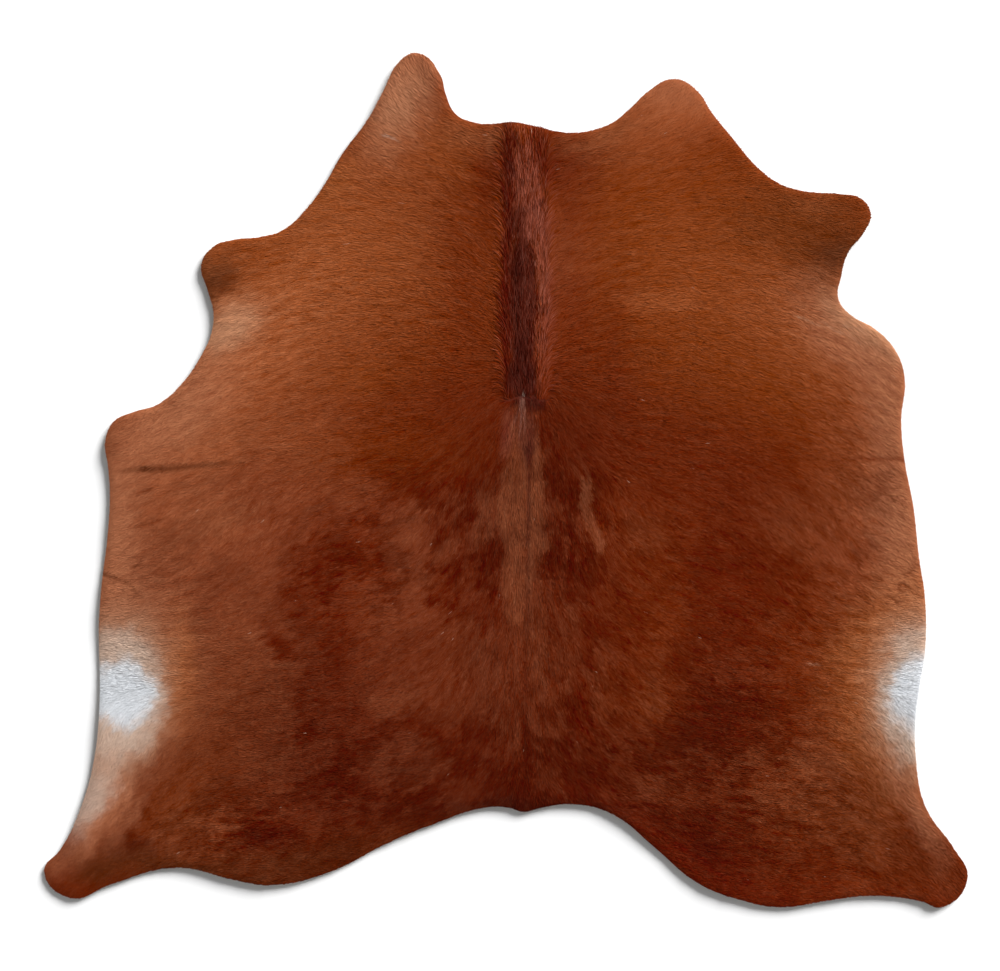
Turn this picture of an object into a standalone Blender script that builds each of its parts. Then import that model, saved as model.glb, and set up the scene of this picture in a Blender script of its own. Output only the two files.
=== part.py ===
"""A hair-on cowhide laid flat on the floor: one sheet of leather with its lying coat.

Metres, +Z up. The underside lies in z = 0 with the origin in the middle of the hide's
own box. The neck is towards +Y, the hind legs towards -Y, and the spine runs along Y.
"""

import math
from typing import NamedTuple

import bmesh
import bpy
from mathutils import Vector

# Size of the whole hide.
WIDTH = 2.100
LENGTH = 1.943

# Thickness of leather and lying coat together.
BACK_THICKNESS = 0.0050
BELLY_THICKNESS = 0.0038
RIM_THICKNESS = 0.0026
RIM_BAND = 0.012
HALF_WIDTH_OF_BACK = 0.62

# Fineness of the outline and of the top surface.
STEPS_PER_LANDMARK = 5
TOP_PITCH = 0.042
RIDGE_STEPS = (-1.5, -0.6, 0.0, 0.6, 1.5)
SHARP_EDGE = math.radians(50)
WELD = 1e-5

# The spine, and the ridge of longer hair that stands along it in front of the whorl.
SPINE_X = 0.043
WHORL_Y = 0.193
RIDGE_HEIGHT = 0.0016
RIDGE_HALF_WIDTH = 0.030
SPINE_TROUGH_DEPTH = 0.0007
SPINE_TROUGH_HALF_WIDTH = 0.014
FADE_ALONG_SPINE = 0.060

HIDE_COLOUR = (0.150, 0.045, 0.018, 1.0)
HIDE_ROUGHNESS = 0.62


class Landmark(NamedTuple):
    """A point where the cut edge changes its course."""

    name: str
    x: float
    y: float


class Crease(NamedTuple):
    """A soft trough in the top surface, from the cut edge to where it dies out."""

    name: str
    rim_end: tuple
    inner_end: tuple
    half_width: float
    depth: float


class Swell(NamedTuple):
    """A round place where the hide is a little thicker or thinner than around it."""

    name: str
    x: float
    y: float
    half_width: float
    rise: float


# The cut edge, clockwise from the left neck lobe as seen from above.
OUTLINE = (
    Landmark("left neck lobe, tip", -0.202, 0.971),
    Landmark("left neck lobe, inner shoulder", -0.148, 0.921),
    Landmark("left neck lobe, inner side", -0.136, 0.878),
    Landmark("left neck lobe, inner foot", -0.114, 0.833),
    Landmark("neck edge, left end", -0.071, 0.812),
    Landmark("neck edge, left of mane", -0.036, 0.809),
    Landmark("neck edge, mane", 0.017, 0.814),
    Landmark("neck edge, right of mane", 0.064, 0.805),
    Landmark("neck edge, dip", 0.146, 0.789),
    Landmark("neck edge, right end", 0.230, 0.806),
    Landmark("right neck lobe, inner foot", 0.277, 0.839),
    Landmark("right neck lobe, inner side", 0.320, 0.880),
    Landmark("right neck lobe, tip", 0.384, 0.912),
    Landmark("right neck lobe, outer shoulder", 0.437, 0.883),
    Landmark("right neck lobe, outer side", 0.466, 0.839),
    Landmark("right neck, upper", 0.519, 0.773),
    Landmark("right neck, lower", 0.573, 0.710),
    Landmark("right foreleg, foot of front edge", 0.627, 0.671),
    Landmark("right foreleg, front edge", 0.682, 0.656),
    Landmark("right foreleg, outer front edge", 0.762, 0.650),
    Landmark("right foreleg, front corner", 0.806, 0.641),
    Landmark("right foreleg, tip", 0.830, 0.605),
    Landmark("right foreleg, rear corner", 0.814, 0.562),
    Landmark("right foreleg, rear edge", 0.778, 0.516),
    Landmark("right armpit, above", 0.762, 0.460),
    Landmark("right armpit", 0.755, 0.417),
    Landmark("right armpit, below", 0.773, 0.384),
    Landmark("right flank, front slope", 0.842, 0.341),
    Landmark("right flank, front corner", 0.888, 0.290),
    Landmark("right flank, shoulder", 0.907, 0.230),
    Landmark("right flank, shallow waist", 0.899, 0.137),
    Landmark("right flank, crease end", 0.908, 0.036),
    Landmark("right flank, middle", 0.926, -0.056),
    Landmark("right flank, before teat", 0.940, -0.180),
    Landmark("right belly, front", 0.953, -0.268),
    Landmark("right belly, rear", 0.953, -0.392),
    Landmark("right groin, above", 0.942, -0.462),
    Landmark("right groin", 0.931, -0.550),
    Landmark("right groin, below", 0.932, -0.630),
    Landmark("right hind leg, outer foot", 0.953, -0.742),
    Landmark("right hind leg, outer edge", 1.021, -0.842),
    Landmark("right hind leg, tip", 1.050, -0.905),
    Landmark("right hind leg, rear corner", 0.992, -0.971),
    Landmark("right hind leg, rear edge", 0.936, -0.956),
    Landmark("right rump, dip", 0.826, -0.945),
    Landmark("right rump, outer", 0.737, -0.955),
    Landmark("right rump, lobe", 0.622, -0.971),
    Landmark("right rump, inner", 0.540, -0.957),
    Landmark("right rump, foot of slope", 0.434, -0.916),
    Landmark("right rump, slope", 0.334, -0.833),
    Landmark("right rump, top of slope", 0.241, -0.759),
    Landmark("tail edge, right hump", 0.148, -0.737),
    Landmark("tail edge, right of notch", 0.080, -0.746),
    Landmark("tail edge, notch", 0.040, -0.755),
    Landmark("tail edge, left of notch", 0.009, -0.746),
    Landmark("tail edge, left hump", -0.040, -0.744),
    Landmark("left rump, top of slope", -0.173, -0.786),
    Landmark("left rump, slope", -0.264, -0.824),
    Landmark("left rump, foot of slope", -0.400, -0.892),
    Landmark("left rump, lobe", -0.531, -0.921),
    Landmark("left rump, outer", -0.616, -0.909),
    Landmark("left rump, dip", -0.746, -0.881),
    Landmark("left hind leg, rear edge", -0.901, -0.921),
    Landmark("left hind leg, rear corner", -0.987, -0.951),
    Landmark("left hind leg, tip", -1.049, -0.890),
    Landmark("left hind leg, outer edge", -1.010, -0.838),
    Landmark("left hind leg, outer foot", -0.966, -0.748),
    Landmark("left groin, below", -0.931, -0.614),
    Landmark("left groin", -0.922, -0.500),
    Landmark("left belly, rear", -0.924, -0.341),
    Landmark("left belly, front", -0.917, -0.230),
    Landmark("left flank, middle", -0.904, -0.127),
    Landmark("left flank, before crease", -0.899, -0.030),
    Landmark("left flank, crease end", -0.903, 0.030),
    Landmark("left flank, shoulder", -0.909, 0.090),
    Landmark("left flank, front corner", -0.889, 0.134),
    Landmark("left flank, front slope", -0.845, 0.155),
    Landmark("left armpit, slope foot", -0.790, 0.172),
    Landmark("left armpit, slope", -0.734, 0.220),
    Landmark("left armpit, below", -0.694, 0.278),
    Landmark("left armpit, lower", -0.669, 0.332),
    Landmark("left armpit", -0.664, 0.382),
    Landmark("left foreleg, rear edge", -0.678, 0.432),
    Landmark("left foreleg, tip", -0.692, 0.487),
    Landmark("left foreleg, front corner", -0.667, 0.528),
    Landmark("left foreleg, front edge", -0.614, 0.547),
    Landmark("left foreleg, inner front edge", -0.560, 0.552),
    Landmark("left foreleg, foot of front edge", -0.507, 0.567),
    Landmark("left neck, lower", -0.453, 0.616),
    Landmark("left neck, middle", -0.409, 0.676),
    Landmark("left neck, upper", -0.373, 0.739),
    Landmark("left neck lobe, foot of outer side", -0.309, 0.826),
    Landmark("left neck lobe, outer side", -0.274, 0.892),
    Landmark("left neck lobe, outer shoulder", -0.246, 0.946),
)

CREASES = (
    Crease("left belly crease", (-0.895, 0.026), (-0.625, 0.022), 0.013, 0.0013),
    Crease("right belly crease", (0.905, 0.046), (0.740, 0.036), 0.012, 0.0010),
    Crease("left flank curl", (-0.915, -0.222), (-0.835, -0.214), 0.012, 0.0009),
    Crease("right flank curl", (0.935, -0.245), (0.868, -0.250), 0.012, 0.0009),
)

SWELLS = (
    Swell("left shoulder", -0.33, 0.42, 0.10, 0.0005),
    Swell("right shoulder", 0.42, 0.40, 0.11, 0.0005),
    Swell("left rump", -0.42, -0.55, 0.12, 0.0006),
    Swell("right rump", 0.44, -0.56, 0.13, 0.0006),
    Swell("left groin", -0.86, -0.50, 0.07, -0.0007),
    Swell("right groin", 0.89, -0.50, 0.06, -0.0007),
    Swell("left foreleg", -0.60, 0.48, 0.05, -0.0004),
    Swell("right foreleg", 0.74, 0.56, 0.06, -0.0004),
)


def clear_scene():
    """Remove every object that is already in the scene."""
    for obj in list(bpy.data.objects):
        bpy.data.objects.remove(obj, do_unlink=True)


def bell(distance, half_width):
    """A soft bump of height 1 that falls off over the half width."""
    return math.exp(-0.5 * (distance / half_width) ** 2)


def smooth_step(value):
    """A ramp from 0 to 1 with level ends."""
    value = min(max(value, 0.0), 1.0)
    return value * value * (3.0 - 2.0 * value)


def crease_depth(crease, x, y):
    """How deep a crease is at this place; over its inner half it fades out."""
    rim_end = Vector(crease.rim_end)
    along = Vector(crease.inner_end) - rim_end
    share = (Vector((x, y)) - rim_end).dot(along) / along.length_squared
    nearest = rim_end + along * min(max(share, 0.0), 1.0)
    across = (Vector((x, y)) - nearest).length
    fade = smooth_step(2.0 * (1.0 - share))
    return crease.depth * fade * bell(across, crease.half_width)


def thickness_at(x, y):
    """Thickness of leather and coat at a place inside the rim band."""
    towards_belly = smooth_step(abs(x - SPINE_X) / HALF_WIDTH_OF_BACK)
    thickness = BACK_THICKNESS + (BELLY_THICKNESS - BACK_THICKNESS) * towards_belly
    on_mane = smooth_step((y - WHORL_Y) / FADE_ALONG_SPINE)
    thickness += RIDGE_HEIGHT * on_mane * bell(x - SPINE_X, RIDGE_HALF_WIDTH)
    behind_whorl = 1.0 - smooth_step((y - WHORL_Y + FADE_ALONG_SPINE) / FADE_ALONG_SPINE)
    thickness -= SPINE_TROUGH_DEPTH * behind_whorl * bell(x - SPINE_X, SPINE_TROUGH_HALF_WIDTH)
    for swell in SWELLS:
        away = math.hypot(x - swell.x, y - swell.y)
        thickness += swell.rise * bell(away, swell.half_width)
    for crease in CREASES:
        thickness -= crease_depth(crease, x, y)
    return thickness


def outline_curve():
    """The cut edge as a filled 2D curve, extruded to a flat plate with z = 0 in its middle."""
    curve = bpy.data.curves.new("hide_outline", "CURVE")
    curve.dimensions = "2D"
    curve.fill_mode = "BOTH"
    curve.resolution_u = STEPS_PER_LANDMARK
    curve.extrude = BACK_THICKNESS / 2
    spline = curve.splines.new("BEZIER")
    spline.use_cyclic_u = True
    spline.bezier_points.add(len(OUTLINE) - 1)
    for point, landmark in zip(spline.bezier_points, OUTLINE):
        point.co = (landmark.x, landmark.y, 0.0)
        point.handle_left_type = "AUTO"
        point.handle_right_type = "AUTO"
    outline = bpy.data.objects.new("hide_outline", curve)
    bpy.context.scene.collection.objects.link(outline)
    return outline


def mesh_from_curve(outline):
    """Turn the curve object into a welded mesh, and remove the curve."""
    bpy.context.view_layer.update()
    graph = bpy.context.evaluated_depsgraph_get()
    mesh = bpy.data.meshes.new_from_object(outline.evaluated_get(graph))
    plate = bmesh.new()
    plate.from_mesh(mesh)
    bmesh.ops.remove_doubles(plate, verts=plate.verts, dist=WELD)
    bpy.data.meshes.remove(mesh)
    bpy.data.objects.remove(outline, do_unlink=True)
    return plate


def merge_flat_faces(plate, upward):
    """Join the triangles of the top or the bottom of the plate into one flat face."""
    faces = [face for face in plate.faces if face.normal.z * upward > 0.5]
    inner = [edge for edge in plate.edges if all(face in faces for face in edge.link_faces)]
    bmesh.ops.dissolve_edges(plate, edges=inner, use_verts=False)


def fit_to_size(plate):
    """Give the plate its width and length, centred on the origin with its underside in z = 0."""
    low = [min(vert.co[axis] for vert in plate.verts) for axis in range(3)]
    high = [max(vert.co[axis] for vert in plate.verts) for axis in range(3)]
    middle_x = (low[0] + high[0]) / 2
    middle_y = (low[1] + high[1]) / 2
    bmesh.ops.translate(plate, verts=plate.verts, vec=(-middle_x, -middle_y, -low[2]))
    scale = (WIDTH / (high[0] - low[0]), LENGTH / (high[1] - low[1]), 1.0)
    bmesh.ops.scale(plate, verts=plate.verts, vec=scale)


def grid_lines(half_extent, extra):
    """Places of the cuts across one side of the hide: a regular pitch, and finer ones at a form."""
    count = int(half_extent / TOP_PITCH)
    regular = [index * TOP_PITCH for index in range(-count, count + 1)]
    clear = [line for line in regular if all(abs(line - place) > TOP_PITCH / 3 for place in extra)]
    return sorted(clear + list(extra))


def ridge_lines():
    """Cuts that follow the ridge and the trough of the spine."""
    return [SPINE_X + step * RIDGE_HALF_WIDTH for step in RIDGE_STEPS]


def crease_lines():
    """Cuts along the bottom and the two sides of each crease."""
    lines = []
    for crease in CREASES:
        middle = (crease.rim_end[1] + crease.inner_end[1]) / 2
        lines += [middle - crease.half_width, middle, middle + crease.half_width]
    return lines


def cut_top(plate, lines, normal):
    """Cut the top face, and only that, along parallel lines."""
    for line in lines:
        top = [face for face in plate.faces if face.normal.z > 0.5]
        edges = dict.fromkeys(edge for face in top for edge in face.edges)
        verts = dict.fromkeys(vert for face in top for vert in face.verts)
        geometry = top + list(edges) + list(verts)
        place = Vector(normal) * line
        bmesh.ops.bisect_plane(plate, geom=geometry, plane_co=place, plane_no=normal, dist=WELD)


def raise_top(plate):
    """Set the top surface to the hide's thickness, thinner along the cut edge."""
    top = {vert for face in plate.faces if face.normal.z > 0.5 for vert in face.verts}
    rim = {vert for vert in top if any(abs(face.normal.z) < 0.5 for face in vert.link_faces)}
    for vert in top - rim:
        vert.co.z = thickness_at(vert.co.x, vert.co.y)
    for vert in rim:
        vert.co.z = RIM_THICKNESS


def hide_material():
    """Red-brown coat."""
    material = bpy.data.materials.new("hide")
    material.use_nodes = True
    surface = material.node_tree.nodes["Principled BSDF"]
    surface.inputs["Base Color"].default_value = HIDE_COLOUR
    surface.inputs["Roughness"].default_value = HIDE_ROUGHNESS
    surface.inputs["Metallic"].default_value = 0.0
    material.diffuse_color = HIDE_COLOUR
    return material


def build_hide(collection):
    """The whole hide as one closed solid."""
    plate = mesh_from_curve(outline_curve())
    for upward in (1, -1):
        merge_flat_faces(plate, upward)
    fit_to_size(plate)
    top = [face for face in plate.faces if face.normal.z > 0.5]
    bmesh.ops.inset_region(plate, faces=top, thickness=RIM_BAND, use_even_offset=True)
    cut_top(plate, grid_lines(WIDTH / 2, ridge_lines()), (1.0, 0.0, 0.0))
    cut_top(plate, grid_lines(LENGTH / 2, crease_lines()), (0.0, 1.0, 0.0))
    raise_top(plate)
    mesh = bpy.data.meshes.new("hide")
    plate.to_mesh(mesh)
    plate.free()
    mesh.shade_smooth()
    mesh.set_sharp_from_angle(angle=SHARP_EDGE)
    mesh.materials.append(hide_material())
    hide = bpy.data.objects.new("hide", mesh)
    collection.objects.link(hide)
    return hide


def main():
    clear_scene()
    collection = bpy.data.collections.new("cowhide_rug")
    bpy.context.scene.collection.children.link(collection)
    build_hide(collection)


if __name__ == "__main__":
    main()
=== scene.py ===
"""The looks of a hair-on cowhide rug that lies flat on the floor.

The leather is one closed sheet with a hair side, a cut edge and a flesh side. The coat is
made of single hairs and small locks, combed along the way hair grows on a back: outwards
from a whorl on the spine. A mane of longer hair runs from that whorl to the neck.
"""

import logging
import math
from dataclasses import dataclass, field
from enum import Enum
from typing import Any, ClassVar

import bpy
import numpy as np
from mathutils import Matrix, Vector
from mathutils.bvhtree import BVHTree
from mathutils.geometry import delaunay_2d_cdt


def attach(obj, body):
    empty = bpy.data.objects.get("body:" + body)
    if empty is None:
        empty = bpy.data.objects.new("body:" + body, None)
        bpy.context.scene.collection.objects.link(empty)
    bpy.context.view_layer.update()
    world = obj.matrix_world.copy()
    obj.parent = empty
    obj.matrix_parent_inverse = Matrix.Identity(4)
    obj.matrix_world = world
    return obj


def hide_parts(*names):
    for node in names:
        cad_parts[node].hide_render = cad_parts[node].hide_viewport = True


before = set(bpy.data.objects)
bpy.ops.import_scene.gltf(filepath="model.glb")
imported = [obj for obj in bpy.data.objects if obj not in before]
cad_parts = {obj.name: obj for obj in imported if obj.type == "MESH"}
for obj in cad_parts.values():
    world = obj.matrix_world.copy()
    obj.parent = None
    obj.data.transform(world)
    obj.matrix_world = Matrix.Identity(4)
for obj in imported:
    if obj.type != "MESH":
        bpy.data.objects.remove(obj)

Array = np.ndarray
Colour = tuple[float, float, float]

LOG = logging.getLogger("cowhide")
BODY = "root"
NODE = "hide"

# Places on the hide, in metres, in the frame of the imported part.
SPINE_X = 0.045
WHORL_Y = 0.193
NECK_Y = 0.805

# The photograph's frame, and the floor that one of its pixels covers.
PHOTO_WIDTH = 1000
PIXEL = 0.002275
VIEW_CENTRE = (-0.0137, -0.0125)


# ------------------------------------------------------------------ colours of the coat


class Tone(Enum):
    """Colours of the coat and the leather, as a screen shows them, 0 to 255."""

    INK = (54, 12, 8)
    PLUM = (72, 25, 17)
    MAROON = (74, 15, 3)
    OXBLOOD = (82, 18, 3)
    MAHOGANY = (90, 22, 3)
    CHESTNUT = (100, 29, 4)
    RUSSET = (110, 37, 5)
    COPPER = (120, 46, 6)
    AMBER = (127, 53, 8)
    BARK = (80, 34, 12)
    UMBER = (97, 35, 7)
    OLIVE = (105, 45, 9)
    SMOKE = (96, 44, 31)
    DUSK = (118, 57, 42)
    ASH = (146, 100, 84)
    GINGER = (152, 88, 54)
    TAN = (166, 102, 70)
    SAND = (170, 124, 96)
    HONEY = (172, 98, 52)
    WHEAT = (186, 132, 98)
    CREAM = (190, 164, 146)
    SILVER = (208, 211, 215)

    def linear(self) -> Array:
        """The tone as the renderer counts it, 0 to 1."""
        share = np.array(self.value) / 255.0
        return np.where(share < 0.04045, share / 12.92, ((share + 0.055) / 1.055) ** 2.4)


def turned(way: Array, angle: Array) -> Array:
    """Turn directions on the floor, each by its own angle.

    Args:
        way: Directions, one row each.
        angle: Angles in radians, anticlockwise.

    Returns:
        The turned directions, one row each.
    """
    x, y = way.T
    return np.stack([x * np.cos(angle) - y * np.sin(angle), x * np.sin(angle) + y * np.cos(angle)], axis=1)


def loop_area(loop: Array) -> float:
    """Area inside a loop of places, positive if the loop runs anticlockwise."""
    x, y = loop.T
    return float(0.5 * np.sum(x * np.roll(y, -1) - y * np.roll(x, -1)))


@dataclass(frozen=True)
class Patch:
    """A soft oval patch of coat, laid over the patches before it.

    It leads to a tone or to a number. Its strength falls to half at the rim of the oval, and a
    higher edge makes the rim crisper. Turn is in degrees, anticlockwise.
    """

    name: str
    x: float
    y: float
    long: float
    short: float
    turn: float
    leads_to: Tone | float
    strength: float
    edge: float = 1.0

    def cover(self, points: Array) -> Array:
        """How much of the patch lies over each point.

        Args:
            points: Places on the hide, one row each.

        Returns:
            A share from 0 to the patch's strength for each place.
        """
        turn = math.radians(self.turn)
        across, up = points[:, 0] - self.x, points[:, 1] - self.y
        along = (across * math.cos(turn) + up * math.sin(turn)) / self.long
        beside = (up * math.cos(turn) - across * math.sin(turn)) / self.short
        return self.strength * np.exp(-math.log(2) * (along**2 + beside**2) ** self.edge)

    def laid_over(self, values: Array, points: Array) -> Array:
        """The values with this patch over them, one row for each point."""
        goal = self.leads_to.linear() if isinstance(self.leads_to, Tone) else self.leads_to
        return values + (goal - values) * self.cover(points)[:, None]


@dataclass(frozen=True)
class Line:
    """A crease, wrinkle or streak along a run of places; it fades towards the last one."""

    name: str
    places: tuple[tuple[float, float], ...]
    half_width: float
    tone: Tone
    strength: float
    depth: float = 0.0
    fade: ClassVar[float] = 0.75

    def cover(self, points: Array) -> Array:
        """How much of the line lies over each point.

        Args:
            points: Places on the hide, one row each.

        Returns:
            A share from 0 to 1 for each place.
        """
        best = np.full(len(points), np.inf)
        share = np.zeros(len(points))
        pieces = len(self.places) - 1
        for index in range(pieces):
            start = np.array(self.places[index])
            run = np.array(self.places[index + 1]) - start
            part = np.clip((points - start) @ run / (run @ run), 0.0, 1.0)
            away = np.hypot(*(points - start - part[:, None] * run).T)
            nearer = away < best
            best = np.where(nearer, away, best)
            share = np.where(nearer, (index + part) / pieces, share)
        return np.exp(-math.log(2) * (best / self.half_width) ** 2) * (1.0 - self.fade * share**2)


@dataclass(frozen=True)
class Stroke:
    """The way the hair is combed at one place, the same on both sides of the spine.

    Lift is the angle from straight outwards, towards the neck if positive, in degrees.
    """

    across: float
    y: float
    lift: float


# The colour of the hair where it lies smooth.
SMOOTH_GROUND = Tone.CHESTNUT
SMOOTH = (
    Patch("shoulders", 0.09, 0.57, 0.76, 0.33, 0, Tone.COPPER, 0.97, 1.5),
    Patch("left shoulder", -0.40, 0.52, 0.30, 0.24, 0, Tone.AMBER, 0.90),
    Patch("right shoulder", 0.44, 0.50, 0.28, 0.22, 0, Tone.AMBER, 0.80),
    Patch("left chest", -0.54, 0.25, 0.26, 0.13, 10, Tone.COPPER, 0.55),
    Patch("behind the left shoulder", -0.33, 0.235, 0.08, 0.035, 0, Tone.AMBER, 0.55),
    Patch("right chest", 0.68, 0.30, 0.25, 0.18, -20, Tone.AMBER, 0.80),
    Patch("left of the mane", -0.08, 0.46, 0.34, 0.090, 90, Tone.RUSSET, 0.80),
    Patch("left of the crest", -0.14, 0.76, 0.070, 0.060, 0, Tone.AMBER, 0.80),
    Patch("beside the crest", -0.035, 0.69, 0.10, 0.026, 90, Tone.CHESTNUT, 0.75),
    Patch("right of the mane", 0.135, 0.48, 0.34, 0.065, 90, Tone.CHESTNUT, 0.80),
    Patch("inside of the right shoulder", 0.25, 0.28, 0.15, 0.045, 90, Tone.CHESTNUT, 0.50),
    Patch("right of the crest", 0.11, 0.72, 0.10, 0.06, 0, Tone.MAHOGANY, 0.60),
    Patch("behind the whorl", 0.055, 0.09, 0.22, 0.12, 0, Tone.MAHOGANY, 0.90),
    Patch("right side", 0.82, 0.08, 0.20, 0.14, 90, Tone.COPPER, 0.60),
    Patch("back", 0.01, -0.39, 0.80, 0.40, 0, Tone.MAHOGANY, 0.70, 2.0),
    Patch("mid back", 0.01, -0.06, 0.22, 0.18, 0, Tone.OXBLOOD, 0.85, 1.5),
    Patch("left of the spine, front", -0.10, 0.03, 0.065, 0.050, 0, Tone.OXBLOOD, 0.75),
    Patch("left of the whorl", -0.12, 0.075, 0.075, 0.035, 0, Tone.OXBLOOD, 0.50),
    Patch("left of the rear spine", -0.055, -0.42, 0.17, 0.035, 90, Tone.OXBLOOD, 0.60),
    Patch("right loin", 0.42, -0.03, 0.16, 0.13, 0, Tone.CHESTNUT, 0.75),
    Patch("golden strip right of the spine", 0.255, -0.26, 0.38, 0.045, 90, Tone.CHESTNUT, 0.85, 1.5),
    Patch("right of the loin", 0.26, -0.21, 0.055, 0.035, 90, Tone.MAHOGANY, 0.60),
    Patch("golden belly", 0.35, -0.36, 0.32, 0.075, 90, Tone.RUSSET, 0.80),
    Patch("left ribs", -0.47, -0.05, 0.16, 0.09, 0, Tone.CHESTNUT, 0.40),
    Patch("left side", -0.30, 0.07, 0.20, 0.07, 0, Tone.COPPER, 0.60),
    Patch("left belly", -0.33, -0.27, 0.14, 0.05, 90, Tone.CHESTNUT, 0.75),
    Patch("left flank", -0.73, -0.11, 0.14, 0.08, 90, Tone.MAHOGANY, 0.80),
    Patch("rump", -0.06, -0.70, 0.44, 0.13, 0, Tone.MAROON, 0.75),
    Patch("left rump", -0.46, -0.57, 0.16, 0.12, 90, Tone.MAROON, 0.50),
    Patch("right rump", 0.47, -0.57, 0.16, 0.11, 0, Tone.MAROON, 0.95),
    Patch("golden haunch", 0.345, -0.505, 0.080, 0.050, 0, Tone.RUSSET, 0.60),
    Patch("right thigh", 0.46, -0.84, 0.16, 0.08, -10, Tone.MAROON, 0.75),
    Patch("right flank", 0.69, -0.36, 0.24, 0.11, 90, Tone.RUSSET, 0.75),
    Patch("left hind leg", -0.78, -0.70, 0.24, 0.13, 60, Tone.UMBER, 0.85),
    Patch("right hind leg", 0.80, -0.77, 0.26, 0.13, -20, Tone.UMBER, 0.85),
    Patch("left hind leg, dark", -0.836, -0.846, 0.050, 0.028, 15, Tone.MAROON, 0.85, 2.0),
    Patch("left hind foot", -0.924, -0.883, 0.060, 0.030, 10, Tone.BARK, 0.75),
    # Painted shade along the rear rim of the left leg.
    Patch("rear rim of the left leg", -0.74, -0.875, 0.18, 0.030, -5, Tone.BARK, 0.85),
    Patch("left foreleg", -0.62, 0.50, 0.13, 0.08, 15, Tone.AMBER, 0.60, 1.5),
    Patch("left foreleg, dark", -0.660, 0.452, 0.050, 0.040, 20, Tone.BARK, 0.90),
    Patch("right foreleg", 0.70, 0.57, 0.17, 0.10, -10, Tone.OLIVE, 0.80, 1.5),
    Patch("right foreleg, dark", 0.745, 0.510, 0.055, 0.040, 40, Tone.BARK, 0.90),
    # Painted shade: the rear rim is darkened where it turns away from the light.
    Patch("rear rim", -0.02, -0.765, 0.30, 0.030, 0, Tone.MAROON, 0.80),
    Patch("rear rim, edge", 0.03, -0.745, 0.19, 0.018, 0, Tone.INK, 0.55),
    Patch("rear rim of the left thigh", -0.46, -0.865, 0.15, 0.030, 14, Tone.MAROON, 0.60),
    Patch("rear rim, left", -0.46, -0.880, 0.26, 0.050, 16, Tone.BARK, 0.62),
    Patch("rear rim, right", 0.52, -0.930, 0.26, 0.040, -30, Tone.MAHOGANY, 0.80),
    Patch("left thigh, dark", -0.535, -0.812, 0.050, 0.025, 10, Tone.MAROON, 0.85, 1.5),
    Patch("right thigh, dark", 0.455, -0.845, 0.040, 0.024, -35, Tone.MAROON, 0.90, 1.5),
)
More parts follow.
